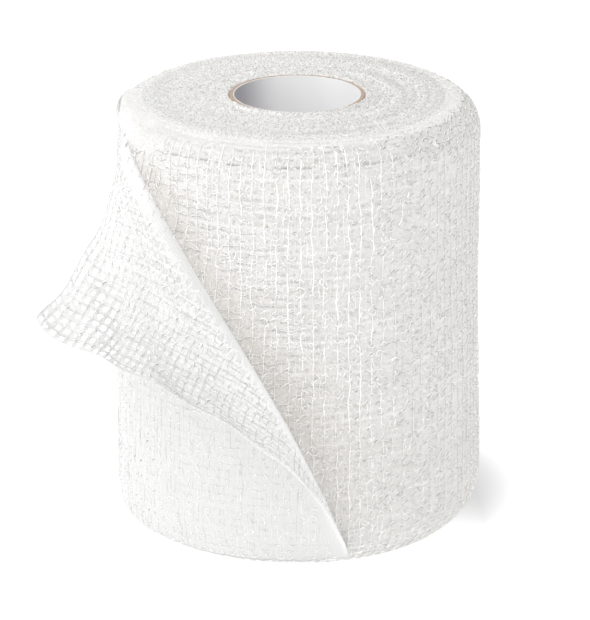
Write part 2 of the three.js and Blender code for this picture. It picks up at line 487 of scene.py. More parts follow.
def math_node(operation: str, swapped: bool = False) -> Callable[..., Socket]:
    """Makes a method of Socket that adds one Math node.

    Args:
        operation: What the node does.
        swapped: Whether the other value comes first.

    Returns:
        The method.
    """

    def method(self: Socket, other: Any = 0.0) -> Socket:
        """Works on this socket and another value."""
        first, second = (other, self) if swapped else (self, other)
        return self.graph.value("ShaderNodeMath", {0: first, 1: second}, operation=operation)

    return method


class Socket:
    """A shader socket that takes part in Python arithmetic."""

    __add__ = __radd__ = math_node("ADD")
    __sub__, __rsub__ = math_node("SUBTRACT"), math_node("SUBTRACT", swapped=True)
    __mul__ = __rmul__ = math_node("MULTIPLY")
    __truediv__ = math_node("DIVIDE")
    __abs__ = math_node("ABSOLUTE")
    fraction, root = math_node("FRACT"), math_node("SQRT")
    smallest, largest = math_node("MINIMUM"), math_node("MAXIMUM")

    def __init__(self, graph: Graph, socket: bpy.types.NodeSocket) -> None:
        """Keeps the socket and the graph that it is in."""
        self.graph = graph
        self.socket = socket

    def step(self, low: float, high: float) -> Socket:
        """Eases from 0 at low to 1 at high."""
        return self.graph.value(
            "ShaderNodeMapRange",
            {"Value": self, "From Min": low, "From Max": high},
            interpolation_type="SMOOTHSTEP",
        )

    def gaps(self, pitch: float) -> Socket:
        """1 at each whole pitch, and 0 half-way between two."""
        return abs((self / pitch).fraction() - 0.5) * 2


class Graph(Tree):
    """The node tree of a new material."""

    def __init__(self, name: str) -> None:
        """Starts an empty material."""
        self.material = bpy.data.materials.new(name)
        self.material.use_nodes = True
        super().__init__(self.material.node_tree)
        self.tree.nodes.clear()

    def value(self, kind: str, inputs: dict[Any, Any], output: Any = 0, **settings: Any) -> Socket:
        """One output of a node, ready for arithmetic."""
        return Socket(self, self.result(kind, inputs, output, **settings))

    def place(self, axis: str, source: str = "Object") -> Socket:
        """One coordinate of the point that is shaded."""
        whole = self.value("ShaderNodeTexCoord", {}, source)
        return self.value("ShaderNodeSeparateXYZ", {0: whole}, axis)

    def cloth_place(self) -> tuple[Socket, Socket]:
        """Places along the cloth and across it, in millimetres, from the UV map."""
        return self.place("X", "UV") * UV_MM, self.place("Y", "UV") * UV_MM

    def noise(
        self, size: float, detail: float = 2.0, rough: float = 0.5, squeeze: float = 1.0
    ) -> Socket:
        """Noise on Object coordinates.

        Args:
            size: The grains' size in millimetres.
            detail: How many finer layers there are.
            rough: How strong the finer layers are.
            squeeze: Scale of the Y coordinate.

        Returns:
            Values round 0.5.
        """
        place = self.value("ShaderNodeTexCoord", {}, "Object")
        scale = {0: place, 1: (1, squeeze, 1)}
        place = self.value("ShaderNodeVectorMath", scale, operation="MULTIPLY")
        look = {"Vector": place, "Scale": 1 / (size * MM), "Detail": detail, "Roughness": rough}
        return self.value("ShaderNodeTexNoise", look, "Fac")

    def mix(self, factor: Any, a: Any, b: Any) -> Socket:
        """A colour between a and b."""
        values = {"Factor_Float": factor, "A_Color": a, "B_Color": b}
        return self.value("ShaderNodeMix", values, "Result_Color", data_type="RGBA")

    def attribute(self, name: str) -> Socket:
        """A number stored on the mesh."""
        return self.value("ShaderNodeAttribute", {}, "Fac", attribute_name=name)

    def bump(self, height: Socket, depth: float) -> Socket:
        """A normal from a height of 0 to 1 that stands for a depth in millimetres."""
        relief = {"Height": height, "Strength": 1.0, "Distance": depth * MM}
        return self.value("ShaderNodeBump", relief)

    def finish(self, inputs: dict[str, Any]) -> bpy.types.Material:
        """Ends the tree in a Principled shader with these inputs."""
        shader = self.value("ShaderNodeBsdfPrincipled", inputs)
        self.node("ShaderNodeOutputMaterial", {"Surface": shader})
        return self.material


@dataclass(frozen=True)
class YarnFinish:
    """Dull bleached cotton, a little uneven, with a fuzzy surface and painted shade by the fold."""

    name: str
    colour: Colour
    shade: Colour
    grain: float
    relief: float
    by_thread: float = 0.4
    painted_shade_colour: Colour = (0.5, 0.475, 0.44)

    def material(self) -> bpy.types.Material:
        """Makes the material."""
        g = Graph(self.name)
        mottle = g.noise(self.grain * 6, 2.0)
        tone = mottle * (1 - self.by_thread) + g.attribute("tint") * self.by_thread
        fuzz = g.noise(self.grain, 3.0, 0.7)
        own = g.mix(tone.step(0.2, 0.8), self.shade, self.colour)
        return g.finish(
            {
                # Painted shade: beside the fold the stored fold shade mixes the colour towards a
                # darker warm tone.
                "Base Color": g.mix(g.attribute("painted_fold_shade"), own, self.painted_shade_colour),
                "Roughness": 0.9,
                "Specular IOR Level": 0.2,
                "Sheen Weight": 0.25,
                "Sheen Roughness": 0.5,
                "Normal": g.bump(fuzz, self.relief),
            }
        )


# The dark shade colour of CURL_FINISH is the painted shadow of the small dark loops.
CURL_FINISH = YarnFinish("curled_fibre", (0.92, 0.92, 0.915), (0.3, 0.285, 0.26), 0.14, 0.02, 1.0)
PILE_FINISH = YarnFinish("end_fibre", (0.9, 0.895, 0.885), (0.54, 0.53, 0.51), 0.14, 0.02, 0.6)


@dataclass(frozen=True)
class WoundFinish:
    """The plies below the yarns: denser cloth, beige in its gaps, and speckled on the end faces.

    The gaps' beige is partly the deeper plies' own colour and partly painted shade. The colour also
    carries painted shade beside the fold, painted light on the upper left and the lower rim, and
    painted shade on the end faces' rings that grows towards the right.
    """

    name: str = "wound_plies"
    cloth: Colour = (0.635, 0.628, 0.617)
    gap: Colour = (0.46, 0.43, 0.39)
    rim: Colour = (0.8, 0.793, 0.783)
    end: Colour = (0.83, 0.825, 0.815)
    end_gap: Colour = (0.43, 0.42, 0.4)
    row_pitch: float = ROW_PITCH
    weft_pitch: float = 2.727
    first_weft: float = -72.8
    ring_pitch: float = 1.1
    ring_run: float = 50.0

    def material(self) -> bpy.types.Material:
        """Makes the material."""
        g = Graph(self.name)
        along, across = g.cloth_place()
        wobble = (g.noise(1.6) - 0.5) * 0.9
        row = (across - FIRST_ROW + wobble).gaps(self.row_pitch)
        weft = (along - self.first_weft + wobble).gaps(self.weft_pitch)
        plain, on_end = g.attribute("plain"), g.attribute("end")
        speckle = g.noise(0.7, 3.0, 0.7).step(0.3, 0.7)
        patchy = g.noise(1.1, 1.0).step(0.38, 0.6)
        # The gaps take the gap colour: partly the deeper plies' own beige, partly painted shade in
        # the recess.
        hole = row.step(0.4, 0.85) * (1 - weft.step(0.5, 0.9)) * speckle * patchy * (1 - plain)
        side = g.mix(hole * g.attribute("open") + speckle * 0.12, self.cloth, self.gap)
        # plain carries the smooth rim band, and painted light on the upper left and along the lower
        # rim.
        side = g.mix(plain, side, self.rim)
        grit = g.noise(0.42, 2.0, 0.6, 0.45).step(0.36, 0.6)
        ring = {"X": across / self.ring_pitch, "Y": along / self.ring_run}
        ring = g.value("ShaderNodeCombineXYZ", ring)
        arcs = g.value("ShaderNodeTexNoise", {"Vector": ring, "Scale": 1.0, "Detail": 2.0}, "Fac")
        # Painted shade: the end face's ring lines darken more towards the right, away from the
        # light.
        right = g.place("X").step(0.0, 0.035)
        tone = grit * 0.7 + 0.3 - (1 - arcs.step(0.4, 0.6)) * (right * 0.2 + 0.05)
        face = g.mix(tone.largest(0.0).smallest(1.0), self.end_gap, self.end)
        height = (1 - hole) * (1 - on_end) + speckle * 0.6
        return g.finish(
            {
                # Painted shade: beside the fold the stored fold shade mixes the colour towards the
                # gap colour.
                "Base Color": g.mix(g.attribute("painted_fold_shade"), g.mix(on_end, side, face), self.gap),
                "Roughness": 0.95,
                "Specular IOR Level": 0.15,
                "Sheen Weight": 0.2,
                "Normal": g.bump(height, 0.35),
            }
        )


@dataclass(frozen=True)
class FilmFinish:
    """The fluff between the yarns of a single ply, open in the middle of each mesh.

    Its openings carry painted light, with a dark contour of painted shade round them; the creases
    near the fold get painted shade, and the ply's bend at the fold a painted highlight.
    """

    name: str = "loose_fluff"
    colour: Colour = (0.59, 0.59, 0.587)
    shade: Colour = (0.53, 0.528, 0.522)
    bright: Colour = (0.71, 0.71, 0.707)
    edge: Colour = (0.74, 0.74, 0.737)
    painted_light_openings: Colour = (0.78, 0.78, 0.78)
    rim: Colour = (0.52, 0.52, 0.515)
    haze: float = 0.65
    row_pitch: float = ROW_PITCH
    weft_pitch: float = 2.72
    crease_pitch: float = 0.62

    def material(self) -> bpy.types.Material:
        """Makes the material."""
        g = Graph(self.name)
        along, across = g.cloth_place()
        wobble = (g.noise(1.3) - 0.5) * 1.1
        ragged = (g.noise(0.5, 3.0, 0.7) - 0.5) * 0.7
        closed = g.noise(2.6, 1.0).step(0.5, 0.62) * 0.28
        row = 1 - (across + wobble).gaps(self.row_pitch) + ragged - closed
        weft = 1 - (along + wobble).gaps(self.weft_pitch) + ragged - closed
        fluff = (1 - row.step(0.3, 0.5)).largest(1 - weft.step(0.28, 0.48))
        fibres = g.noise(0.3, 3.0, 0.7)
        solid, past, high = (g.attribute(name) for name in ("solid", "past", "high"))
        lines = (past + (g.noise(3.0) - 0.5) * 1.2).gaps(self.crease_pitch)
        # Crease lines near the fold: real relief through the bump, and painted shade in the colour.
        crease_relief_and_shade = lines.step(0.55, 0.9) * past.step(1.0, 2.5) * (1 - past.step(5.0, 10.0)) * high
        cloth = g.mix(fibres.step(0.3, 0.7) - crease_relief_and_shade * 0.5, self.shade, self.colour)
        free = past.step(1.0, 5.0)
        cloth = g.mix(free * (1 - high) * 0.6 + free * 0.4, cloth, self.bright)
        # Painted shade: a dark contour round each opening, where the threads would shade it.
        rim = (fluff * (1 - fluff) * 4).smallest(1.0) * (1 - solid) * 0.9
        # Painted light: the openings are coloured bright for the light seen through them.
        cloth = g.mix((1 - fluff) * (1 - solid), g.mix(rim, cloth, self.rim), self.painted_light_openings)
        # Painted highlight: the ply's bend at the fold takes the pale edge colour.
        turned = past.step(-1.0, 0.5) * (1 - past.step(2.0, 4.5)) * (high * 0.8 + 0.1)
        return g.finish(
            {
                "Base Color": g.mix(turned, cloth, self.edge),
                "Alpha": fluff.largest(solid).largest(self.haze - high * 0.35),
                "Roughness": 0.95,
                "Specular IOR Level": 0.1,
                "Normal": g.bump(fibres - crease_relief_and_shade * 0.4, 0.11),
            }
        )


@dataclass(frozen=True)
class CardFinish:
    """Matt card, with fine fibres and darker flecks."""

    name: str = "kraft_card"
    colour: Colour = (0.45, 0.345, 0.265)
    fleck: Colour = (0.33, 0.24, 0.175)

    def material(self) -> bpy.types.Material:
        """Makes the material."""
        g = Graph(self.name)
        flecks = g.noise(0.5, 3.0, 0.6).step(0.45, 0.75)
        return g.finish(
            {
                "Base Color": g.mix(flecks * 0.6 + g.noise(6.0) * 0.2, self.colour, self.fleck),
                "Roughness": 0.85,
                "Specular IOR Level": 0.3,
                "Normal": g.bump(g.noise(0.25, 3.0), 0.05),
            }
        )


@dataclass(frozen=True)
class LiningFinish:
    """Satin paper lining with painted shade.

    It is dark grey on the left of the bore, which faces away from the light, and pale on the
    right and along its top edge.
    """

    name: str = "paper_lining"
    pale: Colour = (0.68, 0.678, 0.682)
    painted_dark_side: Colour = (0.26, 0.252, 0.27)
    start: float = -6.5
    end: float = 4.5
    edge: float = 100.0

    def material(self) -> bpy.types.Material:
        """Makes the material."""
        g = Graph(self.name)
        right = g.place("X") + (g.noise(8.0) - 0.5) * 0.002
        # Painted light and shade across the bore, dark on the left and pale on the right.
        lit = right.step(self.start * MM, self.end * MM)
        lit = lit.largest(g.place("Z").step(self.edge * MM, (self.edge + 0.1) * MM))
        return g.finish(
            {
                "Base Color": g.mix(lit, self.painted_dark_side, self.pale),
                "Roughness": 0.45,
                "Specular IOR Level": 0.35,
                "Normal": g.bump(g.noise(0.6, 3.0), 0.01),
            }
        )


@dataclass(frozen=True)
class FloorFinish:
    """White sweep with painted light: it glows everywhere but in a patch beside the roll.

    The glow hides the shadows elsewhere, so the lamps' shadow shows only in that patch.
    """

    axis: tuple[float, float]
    name: str = "white_sweep"
    colour: Colour = (0.78, 0.78, 0.783)
    glow: float = 0.58
    side: tuple[float, float] = (0.85, 0.53)
    behind: float = 16.0
    onset: tuple[float, float] = (8.0, 36.0)
    patch: tuple[float, float] = (39.0, 63.0)

    def material(self) -> bpy.types.Material:
        """Makes the material."""
        g = Graph(self.name)
        x = g.place("X") / MM - self.axis[0]
        y = g.place("Y") / MM - self.axis[1] - self.behind
        towards = x * self.side[0] + y * self.side[1]
        away = (x * x + y * y).root()
        # Painted light: where lit is 1 the floor glows over any shadow; the patch beside the roll
        # keeps it.
        lit = (1 - towards.step(*self.onset)).largest(away.step(*self.patch))
        return g.finish(
            {
                "Base Color": self.colour,
                "Roughness": 1.0,
                "Specular IOR Level": 0.0,
                "Emission Color": g.mix(lit, (0.0, 0.0, 0.0), (1.0, 1.0, 1.0)),
                "Emission Strength": self.glow,
            }
        )


def add_object(name: str, data: Any) -> bpy.types.Object:
    """A new object in the scene."""
    made = bpy.data.objects.new(name, data)
    bpy.context.scene.collection.objects.link(made)
    return made


def store(mesh: bpy.types.Mesh, numbers: dict[str, Array]) -> None:
    """Stores numbers at a mesh's points, by name."""
    for key, values in numbers.items():
        stored = mesh.attributes.new(key, "FLOAT", "POINT")
        stored.data.foreach_set("value", values.astype(np.float32).ravel())


class Seed(Enum):
    """Seeds of the layers of threads."""

    ROLL_ROWS = 1
    ROLL_WEFTS = 2
    ROLL_CURLS = 3
    LOOSE_ROWS = 4
    LOOSE_WEFTS = 5
    LOOSE_CURLS = 6
    ROLL_SHADOW_LOOPS = 7


class Threads:
    """Thread paths over a cloth that are gathered first and made into tubes together."""

    def __init__(self, seed: Seed, cover: Cover) -> None:
        """Starts with no thread, on the cloth whose points cover works out."""
        self.random = np.random.default_rng(seed.value)
        self.cover = cover
        names = ("co", "out", "thick", "tint", "painted_fold_shade")
        self.columns: dict[str, list[Array]] = {name: [] for name in names}
        self.edges: list[Array] = []
        self.count = 0

    def add(
        self,
        place: tuple[Array, Array, Array],
        thick: Array | float,
        keep: Array | None = None,
        tint: Array | None = None,
        painted_fold_shade: Array | float = 0.0,
    ) -> None:
        """Adds threads.

        Args:
            place: Angles, distances along the profile and lifts of threads by points.
            thick: Half the width of the thread at each point.
            keep: Where the thread is there at all.
            tint: How light each thread is, from 0 to 1; left to chance if not given.
            painted_fold_shade: How much the folded ply keeps the light from each point.
        """
        points, outward = self.cover(*place)
        shape = points.shape[:2]
        number = np.arange(shape[0] * shape[1]).reshape(shape) + self.count
        there = np.ones(shape, bool) if keep is None else keep
        joined = there[:, :-1] & there[:, 1:]
        self.edges.append(np.stack([number[:, :-1][joined], number[:, 1:][joined]], axis=-1))
        tint = self.random.random((shape[0], 1)) if tint is None else tint
        self.columns["co"].append(points.reshape(-1, 3))
        self.columns["out"].append(outward.reshape(-1, 3))
        for key, values in (("thick", thick), ("tint", tint), ("painted_fold_shade", painted_fold_shade)):
            self.columns[key].append(np.broadcast_to(values, shape).ravel())
        self.count += number.size

    def mesh(self, name: str) -> bpy.types.Mesh:
        """The paths as a mesh of edges that carries their sizes."""
        edges = np.concatenate(self.edges)
        used, place = np.unique(edges, return_inverse=True)
        data = {key: np.concatenate(parts)[used] for key, parts in self.columns.items()}
        mesh = bpy.data.meshes.new(name)
        mesh.vertices.add(len(used))
        mesh.vertices.foreach_set("co", (data["co"] * MM).astype(np.float32).ravel())
        mesh.edges.add(len(edges))
        mesh.edges.foreach_set("vertices", place.astype(np.int32).ravel())
        out = mesh.attributes.new("out", "FLOAT_VECTOR", "POINT")
        out.data.foreach_set("vector", data["out"].astype(np.float32).ravel())
        store(mesh, {"thick": data["thick"] * MM, "tint": data["tint"], "painted_fold_shade": data["painted_fold_shade"]})
        return mesh


class Pattern(Tree):
    """A geometry node tree with named inputs, put on a mesh and turned into a plain piece."""

    def __init__(self, name: str, inputs: dict[str, tuple[str, Any]]) -> None:
        """Starts a tree.

        Args:
            name: The tree's name.
            inputs: Its inputs by name, as the socket's type and its value.
        """
        super().__init__(bpy.data.node_groups.new(name, "GeometryNodeTree"))
        self.values = {key: value for key, (_, value) in inputs.items()}
        face = self.tree.interface
        face.new_socket("Geometry", in_out="INPUT", socket_type="NodeSocketGeometry")
        face.new_socket("Geometry", in_out="OUTPUT", socket_type="NodeSocketGeometry")
        for key, (kind, value) in {**inputs, "Material": ("NodeSocketMaterial", None)}.items():
            socket = face.new_socket(key, in_out="INPUT", socket_type=kind)
            if value is not None:
                socket.default_value = value
        self.source = self.node("NodeGroupInput", {}).outputs

    def read(self, name: str, kind: str) -> bpy.types.NodeSocket:
        """A value stored on the mesh."""
        return self.result("GeometryNodeInputNamedAttribute", {"Name": name}, data_type=kind)

    def end(self, mesh: bpy.types.NodeSocket) -> Pattern:
        """Ends the tree in realized instances with their material."""
        soft = self.result("GeometryNodeSetShadeSmooth", {"Geometry": mesh})
        real = self.result("GeometryNodeRealizeInstances", {"Geometry": soft})
        dress = {"Geometry": real, "Material": self.source["Material"]}
        self.node("NodeGroupOutput", {"Geometry": self.result("GeometryNodeSetMaterial", dress)})
        return self

    def piece(
        self, name: str, mesh: bpy.types.Mesh, values: dict[str, Any], material: bpy.types.Material
    ) -> bpy.types.Object:
        """Runs the tree on a mesh.

        Args:
            name: The piece's name.
            mesh: What the tree starts from.
            values: Inputs by name, where they aren't the tree's own.
            material: The finish.

        Returns:
            A plain mesh object with no modifier.
        """
        holder = add_object(name + "_paths", mesh)
        modifier = holder.modifiers.new("pattern", "NODES")
        modifier.node_group = self.tree
        asked = {**self.values, **values, "Material": material}
        for item in self.tree.interface.items_tree:
            if item.in_out == "INPUT" and item.name in asked:
                modifier[item.identifier] = asked[item.name]
        evaluated = holder.evaluated_get(bpy.context.evaluated_depsgraph_get())
        made = add_object(name, bpy.data.meshes.new_from_object(evaluated))
        bpy.data.objects.remove(holder)
        return made


def yarn_pattern() -> Pattern:
    """Tubes along thread paths: flat ones lie flat on the cloth."""
    p = Pattern("yarns", {"Sides": ("NodeSocketInt", 4), "Flatness": ("NodeSocketFloat", 1.0)})
    path = p.result("GeometryNodeMeshToCurve", {"Mesh": p.source["Geometry"]})
    facing = {"Curve": path, "Normal": p.read("out", "FLOAT_VECTOR")}
    turned = p.result("GeometryNodeSetCurveNormal", facing, mode="FREE")
    ring = {"Resolution": p.source["Sides"], "Radius": 1.0}
    ring = p.result("GeometryNodeCurvePrimitiveCircle", ring)
    size = {"X": p.source["Flatness"], "Y": 1.0, "Z": 1.0}
    size = p.result("ShaderNodeCombineXYZ", size)
    section = p.result("GeometryNodeTransform", {"Geometry": ring, "Scale": size})
    tube = {"Curve": turned, "Profile Curve": section, "Scale": p.read("thick", "FLOAT")}
    return p.end(p.result("GeometryNodeCurveToMesh", {**tube, "Fill Caps": True}))


def pile_pattern() -> Pattern:
    """Small bent fibres scattered over a surface, as thick as its stored pile says."""
    inputs = {
        "Density": ("NodeSocketFloat", 2.2e6),
        "Bend Radius": ("NodeSocketFloat", 0.24 * MM),
        "Sweep": ("NodeSocketFloat", 3.4),
        "Thickness": ("NodeSocketFloat", 0.095 * MM),
        "Steps": ("NodeSocketInt", 3),
        "Seed": ("NodeSocketInt", 7),
    }
    p = Pattern("pile", inputs)
    seed = p.source["Seed"]
    amount = {0: p.source["Density"], 1: p.read("pile", "FLOAT")}
    amount = p.result("ShaderNodeMath", amount, operation="MULTIPLY")
    spots = {"Mesh": p.source["Geometry"], "Density": amount, "Seed": seed}
    spots = p.result("GeometryNodeDistributePointsOnFaces", spots, "Points")
    bow = {"Resolution": p.source["Steps"], "Radius": p.source["Bend Radius"]}
    bow = p.result("GeometryNodeCurveArc", {**bow, "Sweep Angle": p.source["Sweep"]})
    section = {"Resolution": 3, "Radius": p.source["Thickness"]}
    section = p.result("GeometryNodeCurvePrimitiveCircle", section)
    fibre = {"Curve": bow, "Profile Curve": section, "Fill Caps": True}
    fibre = p.result("GeometryNodeCurveToMesh", fibre)
    spin = {"Min": (1.0, -0.6, 0.0), "Max": (2.1, 0.6, 2 * math.pi), "Seed": seed}
    spin = p.result("FunctionNodeRandomValue", spin, data_type="FLOAT_VECTOR")
    size = {"Min_001": 0.6, "Max_001": 1.3, "Seed": seed}
    size = p.result("FunctionNodeRandomValue", size, 1)
    placed = {"Points": spots, "Instance": fibre, "Rotation": spin, "Scale": size}
    return p.end(p.result("GeometryNodeInstanceOnPoints", placed))


def grid_mesh(
    name: str, points: Array, faces: Array, uv: Array, numbers: dict[str, Array]
) -> bpy.types.Mesh:
    """A mesh of quads that carries a UV map and some stored numbers.

    Args:
        name: The mesh's name.
        points: Its points, in millimetres.
        faces: Four point numbers for each face.
        uv: The place on the cloth of each face's corners, in millimetres.
        numbers: Values to store at the points, by name.

    Returns:
        The mesh.
    """
    mesh = bpy.data.meshes.new(name)
    mesh.from_pydata((points.reshape(-1, 3) * MM).tolist(), [], faces.tolist())
    layer = mesh.uv_layers.new(name="cloth")
    layer.data.foreach_set("uv", (uv.reshape(-1, 2) / UV_MM).astype(np.float32).ravel())
    store(mesh, numbers)
    mesh.shade_smooth()
    return mesh


def grid_faces(rows: int, columns: int, start: int = 0, flip: bool = False) -> Array:
    """Quads over a grid of points, numbered row by row."""
    number = np.arange(rows * columns).reshape(rows, columns) + start
    quads = np.stack([number[:-1, :-1], number[:-1, 1:], number[1:, 1:], number[1:, :-1]], axis=-1)
    return (quads[..., ::-1] if flip else quads).reshape(-1, 4)


def settle(obj: bpy.types.Object, nodes: tuple[str, ...]) -> bpy.types.Object:
    """Lets a finished piece ride on the roll and stand for its solids."""
    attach(obj, "root")
    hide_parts(*nodes)
    triangles = sum(len(face.vertices) - 2 for face in obj.data.polygons)
    log.info("%s: %d triangles", obj.name, triangles)
    return obj


class Curl(Enum):
    """Shapes of the crimped loops at the crossings, as steps along and across the cloth."""

    HOOK = ((0.0, -0.15), (0.3, 0.0), (0.6, 0.02), (0.8, -0.15), (0.82, -0.4), (0.7, -0.55))
    CUP = ((-0.8, 0.4), (-0.6, 0.08), (-0.25, -0.15), (0.2, -0.17), (0.55, 0.05), (0.75, 0.35))
    FORK = ((-0.7, 0.55), (-0.45, 0.2), (-0.1, -0.1), (0.05, -0.45), (0.05, -0.7), (0.0, -0.9))
    TICK = ((0.0, -0.3), (0.15, -0.05), (0.3, 0.15), (0.5, 0.32), (0.7, 0.42), (0.85, 0.6))


@dataclass
class Weave:
    """Spacings and half widths of the cloth's threads."""

    weft_count: int = 97
    row_pitch: float = ROW_PITCH
    weft: float = 0.135
    fine: float = 0.075
    yarn: float = 0.92
    curl: float = 0.1
    sway: float = 0.45
    stroke: tuple[tuple[float, float], ...] = (
        (-0.38, -0.3),
        (-0.15, -0.03),
        (0.12, 0.12),
        (0.38, 0.17),
    )
    plain_rim: float = 2.6
    shaded: float = 0.45

    def weft_angle(self, start: float, number: Array, part: float) -> Array:
        """Angles of the wefts and of the fine threads between them, by number."""
        return start + (number + part) * 180 / self.weft_count

    def sway_of(self, number: Array, v: Array, seed: float) -> Array:
        """How far a weft wanders sideways along its length."""
        slow = noise(v / 11.0, number * 3.7, seed)
        bent = noise(v / 4.0, number * 2.9, seed + 2)
        quick = noise(v / 1.5, number * 5.3, seed + 1)
        return self.sway * (0.7 * slow + 0.7 * bent + 0.4 * quick)

    def curls(self, random: np.random.Generator, count: int) -> Array:
        """Loops of random shape, hand and size, as loops by points by two."""
        shapes = np.array([shape.value for shape in Curl])
        picked = shapes[random.integers(0, len(shapes), count)]
        size = random.uniform(0.65, 1.25, (count, 1, 1))
        hand = random.choice([-1.0, 1.0], (count, 1, 2))
        hand[..., 1] = np.where(random.random((count, 1)) < 0.7, 1.0, -1.0)
        loops = picked * size * hand + random.normal(0, 0.05, picked.shape)
        turn = random.normal(0, 0.3, (count, 1))
        x = loops[..., 0] * np.cos(turn) - loops[..., 1] * np.sin(turn)
        y = loops[..., 0] * np.sin(turn) + loops[..., 1] * np.cos(turn)
        return np.stack([x, y], axis=-1)

    def loops(self, threads: Threads, places: Placed, lift: Array, painted_fold_shade: Array) -> None:
        """Adds a raised bright loop at each place.

        Args:
            threads: Where the loops go.
            places: The loops' angles and distances along the profile, one a row.
            lift: How far each loop's ends stand off.
            painted_fold_shade: How much the folded ply keeps the light from each loop.
        """
        angle, v = places
        shape = self.curls(threads.random, len(angle))
        rise = 0.2 * np.sin(np.linspace(0, math.pi, shape.shape[1]))[None, :]
        place = (angle + arc_angle(shape[..., 0]), v + shape[..., 1], lift + np.copysign(rise, lift))
        thick = self.curl * threads.random.uniform(0.65, 1.1, angle.shape)
        tint = threads.random.uniform(0.6, 0.95, angle.shape)
        threads.add(place, thick, tint=tint, painted_fold_shade=painted_fold_shade)

    def shadow_loops(self, threads: Threads, places: Placed, lift: Array, pale: float = 0.0) -> None:
        """Adds a dark loop of painted shadow with a bright one of painted highlight at each place.

        Args:
            threads: Where the loops go.
            places: The loops' angles and distances along the profile, one a row.
            lift: How far each loop stands off.
            pale: How much lighter the dark loops are.
        """
        angle, v = places
        size = threads.random.uniform(0.5, 1.25, (len(angle), 1, 1))
        hand = threads.random.choice([-1.0, 1.0], (len(angle), 1), p=[0.35, 0.65])
        jitter = threads.random.normal(0, 0.05, (len(angle), len(self.stroke), 2))
        shape = np.array(self.stroke) * size + jitter
        shape[..., 0] *= hand
        thick = self.curl * threads.random.uniform(0.75, 1.05, angle.shape)
        dark = pale + threads.random.uniform(0.0, 0.3, angle.shape)
        for aside, up, tint in ((0.0, 0.0, dark), (-0.1, 0.22, 1.0 - 0.5 * dark)):
            place = (angle + arc_angle(shape[..., 0] + aside), v + shape[..., 1] + up, lift)
            threads.add(place, thick, tint=tint)


